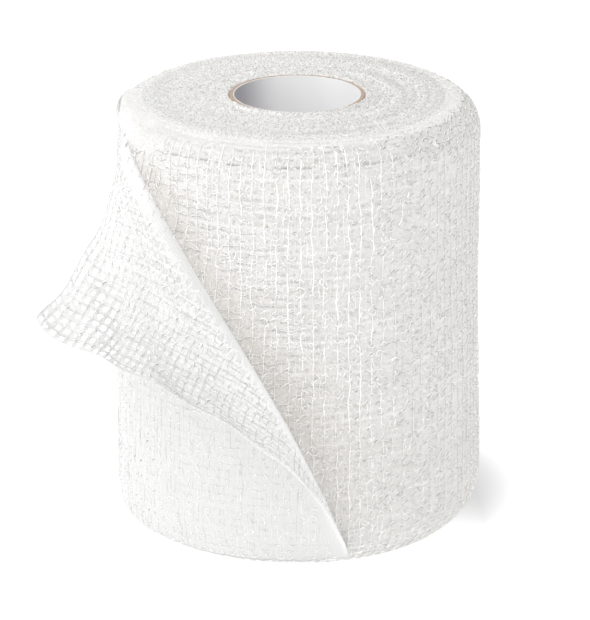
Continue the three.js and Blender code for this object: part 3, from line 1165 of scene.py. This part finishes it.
@dataclass
class WoundCloth:
    """The wound roll: its plies as one body, with the outermost threads on it."""

    form: RollForm
    weave: Weave
    yarns: Pattern
    pile: Pattern
    columns: int = 330
    side_rows: int = 84
    end_rings: int = 46
    sunk: float = 0.08
    padded: float = 0.5
    ply_ridge: float = 0.1
    ridge_pitch: float = 2.1
    fuzz: float = 0.12
    fuzz_grain: float = 1.1
    lip_reach: float = 2.5
    shoulder_at: float = -67.0
    shoulder_reach: float = 12.0
    finish: WoundFinish = WoundFinish()

    def build(self, row_finish: YarnFinish, weft_finish: YarnFinish) -> list[bpy.types.Object]:
        """Builds every piece of the wound cloth.

        Args:
            row_finish: Finish of the yarns that run round the roll.
            weft_finish: Finish of the threads across them.

        Returns:
            The pieces.
        """
        body = add_object("wound_cloth", self.body_mesh())
        body.data.materials.append(self.finish.material())
        soft, bright, crimped = (f.material() for f in (row_finish, weft_finish, CURL_FINISH))
        raised, shadow_marks = self.curls()
        flat, thin = {"Sides": 4, "Flatness": 0.3}, {"Sides": 3}
        pieces = [
            body,
            self.yarns.piece("roll_rows", self.rows().mesh("rows"), flat, soft),
            self.yarns.piece("roll_wefts", self.wefts().mesh("wefts"), thin, bright),
            self.yarns.piece("roll_curls", raised.mesh("roll_curls"), thin, crimped),
            # Small dark loops of painted shadow, each with a bright painted highlight beside it.
            self.yarns.piece("roll_shadow_loops", shadow_marks.mesh("roll_shadow_loops"), thin, crimped),
            self.pile.piece("end_pile", self.pile_mesh(), {}, PILE_FINISH.material()),
        ]
        return [settle(piece, ("wound_roll",)) for piece in pieces]

    def visible_from(self, v: Array) -> Array:
        """Angle from which the wound side shows, a little under the loose ply."""
        z = self.form.height_of(v)
        covered = (z > self.form.ply_base + 0.5) & (z < self.form.ply_top - 0.3)
        return np.where(covered, fold_column("leaves", z) - 10, self.form.root)

    def shade(self, angle: Array, v: Array) -> Array:
        """How much darker the folded ply makes a place."""
        return self.weave.shaded * self.form.fold_shade(angle, v)

    def body_mesh(self) -> bpy.types.Mesh:
        """The plies below the threads, closed round the bore."""
        form = self.form
        turn = np.linspace(form.root, form.root + 360, self.columns)
        angle, v = turn[None, :], np.linspace(0, form.length, self.side_rows)[:, None]
        arc = np.radians(angle) * form.base_radius
        fuzz = noise(arc / self.fuzz_grain, v / self.fuzz_grain, 3) * self.fuzz
        band = smooth((v - form.length + self.weave.plain_rim + 1) / 1.5)
        lift = fuzz - self.sunk * (1 - 0.85 * band) + self.swell(angle, v)
        side, _ = form.surface(angle, v, lift)
        top = self.end_rings_at(side[-1], turn, form.height, 1.0)
        base = self.end_rings_at(side[0], turn, 0.0, -1.0)[::-1]
        points = np.concatenate([base[:-1], side, top[1:]])
        rows, first = len(points), len(base) - 1
        step = np.diff(np.concatenate([points, points[:1]]), axis=0)
        across = np.cumsum(np.linalg.norm(step, axis=-1).mean(axis=1))
        across = np.concatenate([[0.0], across])
        across = (across - across[first])[:, None]
        places = np.stack(np.broadcast_arrays(arc, across), axis=-1)
        faces = grid_faces(rows + 1, self.columns)
        uv = places.reshape(-1, 2)[faces]
        start = np.arange(rows) * self.columns
        last = start + self.columns - 1
        seam = np.stack([last, start, np.roll(start, -1), np.roll(last, -1)], axis=-1)
        faces = np.concatenate([faces % (rows * self.columns), seam])
        uv = np.concatenate([uv, np.zeros((len(seam), 4, 2))])

        def over_all(on_side: Array, on_ends: float) -> Array:
            """Values over the side, with one value on the end faces and in the bore."""
            values = np.full((rows, self.columns), on_ends)
            values[first : first + self.side_rows] = on_side
            return values

        numbers = {
            "end": over_all(1 - smooth((form.length - v) / 2.0), 1.0),
            # Pale rim colour where the side shows no gaps; on the upper left and lower rim it is
            # painted light.
            "plain": over_all(np.maximum(band, self.bare(angle, v)), 1.0),
            # Painted shade that the folded ply would cast beside the fold.
            "painted_fold_shade": over_all(self.shade(angle, v), 0.0),
            "open": over_all(0, 0) + 0.9 - 0.65 * smooth(angle / 50),
        }
        return grid_mesh("wound_cloth", points, faces, uv, numbers)

    def bare(self, angle: Array, v: Array) -> Array:
        """Where the side shows no gaps and takes the pale rim colour.

        That is round the fold's top and at the upper rim on the left, and as painted light on the
        upper left and along the lower rim at the front and left.
        """
        form, z = self.form, self.form.height_of(v)
        upper_rim = smooth((-50 - angle) / 10) * smooth((v - form.length + 6) / 2)
        # Painted light on the upper left, where the light falls.
        painted_light_upper_left = 0.16 * smooth((-15 - angle) / 25) * smooth((z - 78) / 15)
        # Painted light that lifts the shade along the lower rim at the front and left.
        painted_light_lower_rim = smooth((6.0 - z) / 2) * smooth((20 - angle) / 6)
        rims = np.maximum(np.maximum(upper_rim, painted_light_upper_left), painted_light_lower_rim)
        return np.maximum(rims, self.shoulder(angle + 6, z))

    def swell(self, angle: Array, v: Array) -> Array:
        """How far the body stands out to fill the room under the loose ply and its fold."""
        form, z = self.form, self.form.height_of(v)
        covered = form.covered(angle, z)
        under = covered * smooth(z - form.ply_base)
        flush = covered * smooth((z - form.ply_top + 0.8) / 0.8)
        filled = self.padded * (under + 1.5 * flush) + 1.5 * self.shoulder(angle, z)
        return smooth((99.8 - z) / 1.5) * filled + form.foot(angle, v)

    def shoulder(self, angle: Array, z: Array) -> Array:
        """Where the rim swells round the top of the fold."""
        aside = (angle - self.shoulder_at) / self.shoulder_reach
        return np.exp(-(aside**2)) * smooth((z - 93.5) / 3)

    def end_rings_at(self, rim: Array, angle: Array, z: float, way: float) -> Array:
        """Rings over an end face, from its rim to the bore.

        Args:
            rim: The points of the rim.
            angle: Their angles.
            z: Height of the end face.
            way: 1 on the upper face and -1 on the lower one.

        Returns:
            The rings' points, the rim first.
        """
        form = self.form
        t = np.linspace(0, 1, self.end_rings)[:, None]
        rings = rim[None] * (1 - t[..., None]) + form.place(form.bore, angle, z) * t[..., None]
        radius = np.hypot(rings[..., 0] - form.axis[0], rings[..., 1] - form.axis[1])
        turned = (angle - form.root) / 360
        ridge = np.cos(2 * math.pi * (radius / self.ridge_pitch + turned))
        ridge = ridge * (0.5 + 0.5 * noise(radius / 5, angle / 30, 5))
        grain = noise(rings[..., 0] / 0.8, rings[..., 1] / 0.8, 9)
        lip = 0.45 + 0.4 * smooth(1.6 * np.cos(np.radians(angle)))
        lip = lip * smooth(1 - (radius - form.bore) / self.lip_reach)
        inside = smooth(t * self.end_rings / 5) * (1 - smooth((t - 0.97) / 0.03))
        rise = (self.ply_ridge * ridge + 0.2 * grain + (lip if way > 0 else 0)) * inside
        level = rings[..., 2] * (1 - inside) + inside * (z - way * self.sunk)
        rings[..., 2] = level + way * rise
        return rings

    def rows(self) -> Threads:
        """Fluffy yarns that run round the roll."""
        weave, form = self.weave, self.form
        count = int((form.length - weave.plain_rim + 0.6) / weave.row_pitch)
        row = np.arange(count)[:, None]
        v = FIRST_ROW + (row + 0.5) * weave.row_pitch
        first = self.visible_from(v)
        angle = first + (form.root + 360 - first) * np.linspace(0, 1, 180)[None, :]
        weft = angle / 360 * weave.weft_count
        drift = 0.14 * noise(weft * 0.5, row * 2.9, 1) + 0.1 * noise(weft * 1.6, row * 4.1, 2)
        lift = -0.29 + 0.04 * np.cos(2 * math.pi * weft) + 0.07 * noise(weft, row * 1.7, 4)
        thick = weave.yarn * (1 + 0.25 * noise(weft * 1.3, row * 6.1, 6))
        rise = form.foot(angle, v)
        lift = lift + rise - 0.5 * smooth(rise / 0.4)
        threads = Threads(Seed.ROLL_ROWS, form.surface)
        # The rows carry the painted shade beside the fold.
        threads.add((angle, v + drift, lift), thick, painted_fold_shade=self.shade(angle, v))
        return threads

    def wefts(self) -> Threads:
        """Threads across the rows, a thin one between each two thick ones."""
        weave, form = self.weave, self.form
        number = np.arange(2 * weave.weft_count)[:, None]
        v = np.linspace(0.6, form.length - 1.2, 104)[None, :]
        bold = number % 2 == 0
        angle = weave.weft_angle(form.root, number, 0.5) + arc_angle(weave.sway_of(number, v, 11))
        ends = form.length - weave.plain_rim
        keep = (angle > self.visible_from(v)) & (v < ends - 1.5 * noise(v * 0, number * 3.3, 15))
        wave = np.cos(2 * math.pi * (v - FIRST_ROW) / weave.row_pitch)
        lift = np.where(bold, 0.06, -0.08) + 0.05 * wave + 0.08 * noise(v / 3, number * 2.3, 13)
        lift = lift - 0.25 * smooth((v - ends + 4) / 4) + 0.04 + form.foot(angle, v)
        thick = np.where(bold, weave.weft, weave.fine)
        thick = thick * (1 + 0.35 * noise(v / 3, number * 7.7, 14))
        clear = smooth((angle + 50) / 30) * (1 - 0.93 * smooth((angle - 12) / 35))
        tint = 0.4 + 0.5 * noise(v / 2.5, number * 9.1, 16) + np.where(bold, 0.1, -0.1)
        tint = tint * clear + 0.1 + 0.15 * smooth((-20 - angle) / 20)
        threads = Threads(Seed.ROLL_WEFTS, form.surface)
        # The wefts carry the painted shade beside the fold.
        threads.add((angle, v, lift), thick, keep, tint=tint, painted_fold_shade=self.shade(angle, v))
        return threads

    def curls(self) -> tuple[Threads, Threads]:
        """Crimped loops at the crossings: raised ones in front, painted shadow loops round the rest.
        """
        weave, form = self.weave, self.form
        raised = Threads(Seed.ROLL_CURLS, form.surface)
        shadow_marks = Threads(Seed.ROLL_SHADOW_LOOPS, form.surface)
        wefts = np.arange(3 * weave.weft_count)[:, None]
        wefts = wefts // 3 * 2 + (wefts % 3 == 2)
        rows = np.arange(int((form.length - 2) / weave.row_pitch))[None, :]
        wefts, rows = (grid.ravel() for grid in np.broadcast_arrays(wefts, rows))
        v = FIRST_ROW + (rows + 0.5) * weave.row_pitch
        angle = weave.weft_angle(form.root, wefts, 0.5) + arc_angle(weave.sway_of(wefts, v, 11))
        between = wefts % 2 == 1
        v = v + np.where(between, 1.0, 0.4) * raised.random.uniform(-0.9, 0.9, v.shape)
        angle = angle + np.where(between, 0.9, 0.1) * raised.random.uniform(-1.0, 1.0, v.shape)
        ends = form.length - weave.plain_rim - 4.5 * smooth((10 - angle) / 30)
        shown = (angle > self.visible_from(v) + 2) & (v < ends)
        # Towards the right, away from the light, more places get painted shadow loops than raised
        # loops.
        shadowed = raised.random.random(v.shape) < smooth((angle - 8) / 45)
        chance = raised.random.random(v.shape)
        loops = np.where(between, 0.5, 0.9) * (1 - 0.5 * smooth((-20 - angle) / 20))
        shadow_loops = np.where(between, 0.85, 0.6) * np.where(angle > 100, 0.35, 1.0)
        loop, shadow_loop = shown & ~shadowed & (chance < loops), shown & shadowed & (chance < shadow_loops)
        places = angle[loop][:, None], v[loop][:, None]
        # The raised loops carry half the painted shade beside the fold.
        weave.loops(raised, places, 0.1 + form.foot(*places), 0.5 * self.shade(*places))
        weave.shadow_loops(shadow_marks, (angle[shadow_loop][:, None], v[shadow_loop][:, None]), np.array(0.11))
        self.waved_rows(shadow_marks)
        return raised, shadow_marks

    def waved_rows(self, threads: Threads) -> None:
        """Adds the crimped edges of the rows beside the fold, a bright line over a dark one.

        The dark line is painted shadow.
        """
        weave, form = self.weave, self.form
        row = np.arange(4, int((form.length - 7) / weave.row_pitch))[:, None]
        v = FIRST_ROW + row * weave.row_pitch
        run = 44
        first = fold_column("leaves", form.height_of(v)) + 1
        angle = first + np.linspace(0, run, 60)[None, :]
        kink = 0.5 * noise(angle / 1.7, row * 3.3, 61) + 0.2 * noise(angle / 0.8, row * 5.9, 62)
        there = (noise(angle / 2.4, row * 2.3, 63) > -0.1) & (angle < 8)
        fade = smooth((first + run - angle) / 30) * smooth((20 - angle) / 25)
        thick, painted_fold_shade = 0.08 * (0.5 + 0.5 * fade), 0.5 * self.shade(angle, v)
        # The dark line under each bright one is painted shadow, and both carry half the painted fold
        # shade.
        for aside, tint in ((0.12, 0.6 + 0.35 * fade), (-0.12, 0.52 - 0.1 * fade)):
            place = v + aside + kink
            line = (angle, place, 0.02 + form.foot(angle, place))
            threads.add(line, thick, there, tint=tint, painted_fold_shade=painted_fold_shade)

    def pile_mesh(self) -> bpy.types.Mesh:
        """Where the granular pile of the end faces stands, and how dense it is."""
        form = self.form
        angle = np.linspace(form.root, form.root + 360, 121)[None, :]
        v = form.length - np.linspace(3.6, 0, 9)[:, None]
        rim, _ = form.surface(angle, v, self.swell(angle, v) - self.sunk)
        inner = form.place(form.bore + 0.3, angle, form.height + 0.1)
        t = np.linspace(0, 1, 36)[1:, None, None]
        points = np.concatenate([rim, rim[-1:] * (1 - t) + inner * t])
        rows, columns = points.shape[:2]
        covered = smooth((fold_column("leaves", 99.0) + 12 - angle) / 12)
        density = np.ones((rows, columns))
        bare = 1 - 0.6 * smooth((form.length - v) / 3.2)
        density[: len(v)] = bare * (1 - covered) + 0.6 * covered
        radius = np.hypot(points[..., 0] - form.axis[0], points[..., 1] - form.axis[1])
        # Painted shade: the pile's ring lines show stronger towards the right, away from the light.
        lines = noise(radius / 1.1, angle / 60, 17) + 0.4 * noise(radius / 2.3, angle / 40, 18)
        tint = 0.6 + 0.3 * lines * (0.3 + 0.7 * smooth(np.sin(np.radians(angle)) + 0.4))
        tint[: len(v)] = np.maximum(tint[: len(v)], 0.7)
        faces = grid_faces(rows, columns)
        numbers = {"pile": density, "tint": np.clip(tint, 0, 1)}
        return grid_mesh("pile_base", points, faces, np.zeros((len(faces), 4, 2)), numbers)


@dataclass
class LooseEnd:
    """The loose outer ply: open cloth with its corner folded over."""

    form: LooseForm
    weave: Weave
    yarns: Pattern
    half_film: float = 0.07
    half_fold: float = 0.16
    selvedge: float = 0.9
    first_weft: float = 0.9
    film_rows: int = 88
    film_columns: int = 170
    line: float = 0.055
    finish: FilmFinish = FilmFinish()

    def build(self, row_finish: YarnFinish, weft_finish: YarnFinish) -> list[bpy.types.Object]:
        """Args:
            row_finish: Finish of the yarns along the cloth.
            weft_finish: Finish of the threads across it.

        Returns:
            The pieces, the sheet first.
        """
        film = add_object("loose_cloth", self.film_mesh())
        film.data.materials.append(self.finish.material())
        rows, wefts, curls = (
            self.yarns.piece(name, threads.mesh(name), sides, finish.material())
            for name, threads, sides, finish in (
                ("loose_rows", self.rows(), {"Sides": 4, "Flatness": 0.32}, row_finish),
                ("loose_wefts", self.wefts(), {"Sides": 4}, weft_finish),
                ("loose_curls", self.curls(), {"Sides": 3}, CURL_FINISH),
            )
        )
        pieces = [film, rows, wefts, curls]
        for piece in pieces:
            settle(piece, ("loose_end",))
        return pieces

    def film_mesh(self) -> bpy.types.Mesh:
        """Both faces of the fluff between the yarns, joined at the edges."""
        form = self.form
        rows, columns = self.film_rows, self.film_columns
        angle = np.linspace(form.first, form.cut, columns)[None, :]
        v = np.linspace(form.v_low, form.v_high, rows)[:, None]
        past, z = form.roll.fold_distance(angle, v), form.roll.height_of(v)
        bent = smooth((past + 2) / 2) * (1 - smooth((past - 3.5) / 3))
        half = self.half_film + self.half_fold * bent
        faces_of = [form.surface(angle, v, side * half)[0].reshape(-1, 3) for side in (1, -1)]
        solid = np.maximum(1 - smooth((past - 3.5) / 5), 0.9 * (1 - smooth((z - 30) / 24)))
        count = rows * columns
        number = np.arange(count).reshape(rows, columns)
        border = [number[0, :], number[1:, -1], number[-1, -2::-1], number[-2:0:-1, 0]]
        border = np.concatenate(border)
        following = np.roll(border, -1)
        rim = np.stack([border, border + count, following + count, following], axis=-1)
        inner = grid_faces(rows, columns, count, flip=True)
        faces = np.concatenate([grid_faces(rows, columns), inner, rim])
        first = self.weave.weft_angle(form.roll.root + self.first_weft, 0, 0.2)
        along = np.radians(angle - first) * form.roll.base_radius
        places = np.broadcast_arrays(along, v - form.v_low - self.selvedge)
        places = np.tile(np.stack(places, axis=-1).reshape(-1, 2), (2, 1))
        shown = {"solid": solid, "past": past, "high": smooth((z - 40) / 30) + 0 * angle}
        numbers = {key: np.tile(values.ravel(), 2) for key, values in shown.items()}
        return grid_mesh("loose_cloth", np.concatenate(faces_of), faces, places[faces], numbers)

    def row_places(self) -> Array:
        """Distances across the cloth of the yarns along it, with two at each selvedge."""
        form, pitch = self.form, self.weave.row_pitch
        inner = np.arange(form.v_low + self.selvedge, form.v_high - 0.5, pitch)
        return np.concatenate([[form.v_low + 0.1], inner, [form.v_high - 0.1]])[:, None]

    def rows(self) -> Threads:
        """Fluffy yarns along the cloth."""
        weave, form = self.weave, self.form
        v = self.row_places()
        row = np.arange(len(v))[:, None]
        angle = np.linspace(form.roll.root + 0.7, form.cut, 96)[None, :]
        weft = angle / 360 * weave.weft_count
        drift = 0.14 * noise(weft * 0.6, row * 2.9, 21) + 0.08 * noise(weft * 1.9, row * 4.1, 22)
        past = form.roll.past_fold(angle, v)
        free = smooth((past - 4) / 8)
        bend = smooth((past + 4) / 3) * (1 - smooth((past - 9) / 4))
        lift = -0.18 + 0.16 * free + 0.05 * np.cos(2 * math.pi * weft)
        thick = weave.yarn * (0.95 - 0.68 * free) * (1 - 0.75 * bend)
        thick = thick * (1 + 0.25 * noise(weft * 1.5, row * 6.1, 26))
        # Painted shade on the ply's bend at the fold.
        painted_fold_shade = 0.15 * weave.shaded * smooth((past + 4) / 4) * (1 - smooth((past - 2) / 3))
        low = smooth((75 - form.roll.height_of(v)) / 45)
        tint = 0.5 + 0.4 * noise(angle / 9, row * 1.3, 27) + 0.8 * low * smooth((past - 3) / 5)
        threads = Threads(Seed.LOOSE_ROWS, form.surface)
        threads.add((angle, v + drift, lift), thick, tint=tint, painted_fold_shade=painted_fold_shade)
        return threads

    def wefts(self) -> Threads:
        """Threads across the cloth, and thin dark lines of painted shadow beside them and the rows.
        """
        weave, form, roll = self.weave, self.form, self.form.roll
        span = (form.cut - roll.root) / 360 * weave.weft_count * 2
        number = np.arange(int(span))[:, None]
        bold = number % 2 == 0
        v = np.linspace(form.v_low, form.v_high, 90)[None, :]
        angle = weave.weft_angle(roll.root + self.first_weft, number, 0.2)
        angle = angle + arc_angle(weave.sway_of(number, v, 31))
        wave = np.cos(2 * math.pi * (v - form.v_low - self.selvedge) / weave.row_pitch)
        past = smooth((roll.past_fold(angle, v) - 4) / 8)
        lift = (0.08 - 0.1 * past) + 0.05 * wave + 0.05 * noise(v / 2, number * 3.9, 33)
        thick = weave.fine + (weave.weft - weave.fine) * past
        thick = np.where(bold, thick, weave.fine * (1.1 - past))
        thick = thick * (1 + 0.3 * noise(v / 4, number * 7.7, 34))
        threads = Threads(Seed.LOOSE_WEFTS, form.surface)
        apart = arc_angle(0.16)
        tint = 0.62 + 0.25 * noise(v / 3, number * 8.3, 35)
        threads.add((angle - apart * past, v, lift), thick, tint=tint)
        inside = (past > 0.3) & (v < form.v_high - 1.5) & (v > form.v_low + 1.5)
        # Painted shadow: a thin dark line beside each weft.
        dark = 0.15 + 0.25 * smooth((v - 60) / 30)
        dark = dark + 0.4 * smooth(noise(v / 5, number * 4.1, 36) + 0.4)
        thin = self.line + 0.02 * noise(v / 2, number * 5.9, 37)
        threads.add((angle + apart, v, lift - 0.05), thin, inside, tint=dark)
        v = self.row_places()[2:-2]
        row = np.arange(len(v))[:, None]
        angle = np.linspace(roll.root + 20, form.cut, 130)[None, :]
        kink = 0.3 * noise(angle / 1.9, row * 4.7, 38) + 0.12 * noise(angle / 0.9, row * 3.1, 39)
        # Painted shadow: a thin dark line beside each row.
        dark = 0.25 + 0.25 * smooth((v - 60) / 30)
        dark = dark + 0.4 * smooth(noise(angle / 4, row * 6.1, 40) + 0.5)
        there = (roll.past_fold(angle, v) > 6) & (angle < form.cut - 2)
        there = there & (noise(angle / 3, row * 2.2, 41) > -0.5)
        threads.add((angle, v + 0.3 + kink, np.array(-0.12)), self.line, there, tint=dark)
        return threads

    def curls(self) -> Threads:
        """Crimped loops at the crossings of the loose ply."""
        weave, form, roll = self.weave, self.form, self.form.roll
        threads = Threads(Seed.LOOSE_CURLS, form.surface)
        wefts = np.arange(int((form.cut - roll.root) / 360 * weave.weft_count))[:, None]
        rows = np.arange(int((form.v_high - form.v_low) / weave.row_pitch))[None, :]
        wefts, rows = (grid.reshape(-1, 1) for grid in np.broadcast_arrays(wefts, rows))
        v = form.v_low + self.selvedge + rows * weave.row_pitch
        angle = weave.weft_angle(roll.root + self.first_weft, 2 * wefts, 0.2)
        angle = angle + arc_angle(weave.sway_of(2 * wefts, v, 31))
        on_roll = roll.past_fold(angle, v)[:, 0] < 0
        # Places that get painted shadow loops, a dark loop with a bright one beside it, instead of
        # raised ones.
        shadowed = threads.random.random(len(v)) < smooth((-40 - angle[:, 0]) / 25)
        side = threads.random.choice([-1.0, 1.0], v.shape, p=[0.4, 0.6])
        seen = (angle[:, 0] > -80) | (threads.random.random(len(v)) < 0.4) | ~on_roll
        off_middle = np.abs(v[:, 0] - (form.v_low + form.v_high) / 2)
        inside = off_middle < (form.v_high - form.v_low) / 2 - 2
        loop, shadow_loop = on_roll & ~shadowed, seen & (shadowed | ~on_roll) & inside
        flat = np.zeros((loop.sum(), 1))
        weave.loops(threads, (angle[loop], v[loop]), 0.12 + flat, flat)
        lift = np.where(on_roll[:, None], 0.12, 0.14 * side)
        weave.shadow_loops(threads, (angle[shadow_loop], v[shadow_loop]), lift[shadow_loop], 0.28)
        return threads


@dataclass
class CardCore:
    """The card tube: a kraft wall with a smooth paler lining."""

    axis: tuple[float, float]
    outer: float = 15.1
    joint: float = 14.35
    inner: float = 14.1
    base: float = 0.4
    top: float = 100.1
    sides: int = 160
    kraft: CardFinish = CardFinish()
    lining: LiningFinish = LiningFinish()

    def build(self) -> list[bpy.types.Object]:
        """Builds the wall and the lining."""
        wall = self.tube("core_card", (self.joint, self.outer), self.top, 0.12)
        wall.data.materials.append(self.kraft.material())
        lining = self.tube("core_lining", (self.inner, self.joint - 0.02), self.top + 0.05, 0.06)
        lining.data.materials.append(self.lining.material())
        return [settle(piece, ("core_tube",)) for piece in (wall, lining)]

    def tube(
        self, name: str, radii: tuple[float, float], top: float, edge: float
    ) -> bpy.types.Object:
        """One tube with softened edges.

        Args:
            name: The piece's name.
            radii: Inner and outer radius.
            top: Height of its upper edge.
            edge: How far its edges are rounded.

        Returns:
            The piece.
        """
        inner, outer = radii
        levels = np.linspace(20, 80, 4)
        profile = np.array(
            [
                (inner, self.base + edge),
                (inner + edge, self.base),
                (outer - edge, self.base),
                (outer, self.base + edge),
                *[(outer, z) for z in levels],
                (outer, top - edge),
                (outer - edge * 0.3, top - edge * 0.3),
                (outer - edge, top),
                ((inner + outer) / 2, top),
                (inner + edge, top),
                (inner + edge * 0.3, top - edge * 0.3),
                (inner, top - edge),
                *[(inner, z) for z in levels[::-1]],
            ]
        )
        angle = np.linspace(0, 2 * math.pi, self.sides, endpoint=False)[:, None]
        radius, height = profile[:, 0], profile[:, 1][None, :]
        wobble = 0.05 * noise(angle * 9, height * 0.1, outer)
        z = height + wobble * smooth((height - top + 1) / 0.5)
        x = self.axis[0] + radius * np.sin(angle)
        y = self.axis[1] - radius * np.cos(angle)
        steps = len(profile)
        i, j = np.arange(self.sides)[:, None], np.arange(steps)[None, :]
        following, above = (i + 1) % self.sides, (j + 1) % steps
        corners = ((i, j), (following, j), (following, above), (i, above))
        corners = np.broadcast_arrays(*(a * steps + b for a, b in corners))
        faces = np.stack(corners, axis=-1).reshape(-1, 4)
        points, uv = np.stack([x, y, z], axis=-1), np.zeros((len(faces), 4, 2))
        return add_object(name, grid_mesh(name, points, faces, uv, {}))


@dataclass(frozen=True)
class Lamp:
    """A square soft light, placed from the point that it looks at, in metres."""

    name: str
    offset: tuple[float, float, float]
    size: float
    power: float
    shadow: bool = False


@dataclass
class Studio:
    """White sweep, soft lights and the camera, placed from the roll's axis, in metres."""

    axis: Vector
    distance: float = 0.9505
    camera_height: float = 0.3872
    camera_aside: float = -0.00047
    pitch: float = 19.6
    lens: float = 257.4
    floor_half: float = 6.0
    floor_height: float = -0.0006
    aim: float = 0.05
    sky: float = 0.86
    lamps: tuple[Lamp, ...] = (
        Lamp("key", (-0.62, -0.45, 1.2), 1.3, 8.0, shadow=True),
        Lamp("side", (-1.2, -0.5, 0.3), 0.8, 7.6),
        Lamp("fill", (0.9, -0.7, 0.3), 0.9, 4.3),
    )

    def build(self) -> None:
        """Sets the stage."""
        self.camera()
        self.floor()
        self.lights()

    def camera(self) -> None:
        """The camera at the photograph's height and distance."""
        data = bpy.data.cameras.new("camera")
        data.lens = self.lens
        data.sensor_width = 36.0
        camera = add_object("camera", data)
        beside = self.axis.x + self.camera_aside
        camera.location = (beside, self.axis.y - self.distance, self.camera_height)
        camera.rotation_euler = (math.radians(90 - self.pitch), 0, 0)
        bpy.context.scene.camera = camera

    def floor(self) -> None:
        """A wide white floor just under the roll."""
        mesh = bpy.data.meshes.new("sweep")
        corners = ((-1, -1), (1, -1), (1, 1), (-1, 1))
        half, z = self.floor_half, self.floor_height
        mesh.from_pydata([(x * half, y * half, z) for x, y in corners], [], [(0, 1, 2, 3)])
        floor = add_object("sweep", mesh)
        mesh.materials.append(FloorFinish((self.axis.x / MM, self.axis.y / MM)).material())

    def lights(self) -> None:
        """An even sky, a large key from the upper left, and fills from the left and right."""
        world = bpy.data.worlds.new("sky")
        world.use_nodes = True
        background = world.node_tree.nodes["Background"]
        background.inputs["Color"].default_value = (1, 1, 1, 1)
        background.inputs["Strength"].default_value = self.sky
        bpy.context.scene.world = world
        for lamp in self.lamps:
            self.area(lamp)
        view = bpy.context.scene.view_settings
        view.view_transform = "Standard"
        view.look = "None"

    def area(self, lamp: Lamp) -> None:
        """Adds a light that looks at the roll."""
        data = bpy.data.lights.new(lamp.name, "AREA")
        data.energy = lamp.power
        data.size = lamp.size
        data.use_shadow = lamp.shadow
        light, offset = add_object(lamp.name, data), Vector(lamp.offset)
        light.location = self.axis + Vector((0, 0, self.aim)) + offset
        light.rotation_euler = (-offset).to_track_quat("-Z", "Y").to_euler()


def main() -> None:
    """Builds the roll on its frame."""
    logging.basicConfig(level=logging.INFO, format="%(name)s %(message)s")
    for old in list(bpy.data.objects):
        bpy.data.objects.remove(old)
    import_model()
    low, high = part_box("core_tube")
    axis = (low + high) / 2
    roll = RollForm(axis=(axis.x / MM, axis.y / MM))
    weave, yarns, pile = Weave(), yarn_pattern(), pile_pattern()
    row_yarn = YarnFinish("row_yarn", (0.65, 0.643, 0.632), (0.54, 0.53, 0.513), 0.2, 0.16)
    weft_yarn = YarnFinish("weft_yarn", (0.92, 0.92, 0.915), (0.64, 0.633, 0.622), 0.14, 0.03, 0.85)
    loose_yarn = YarnFinish("loose_yarn", (0.59, 0.59, 0.587), (0.52, 0.52, 0.515), 0.2, 0.14)
    # The dark shade colour of loose_weft paints the thin shadow lines beside the flap's threads.
    loose_weft = YarnFinish("loose_weft", (0.72, 0.72, 0.72), (0.4, 0.4, 0.395), 0.14, 0.03, 0.85)
    WoundCloth(roll, weave, yarns, pile).build(row_yarn, weft_yarn)
    LooseEnd(LooseForm(roll), weave, yarns).build(loose_yarn, loose_weft)
    CardCore(roll.axis).build()
    Studio(Vector((axis.x, axis.y, 0.0))).build()


if __name__ == "__main__":
    main()
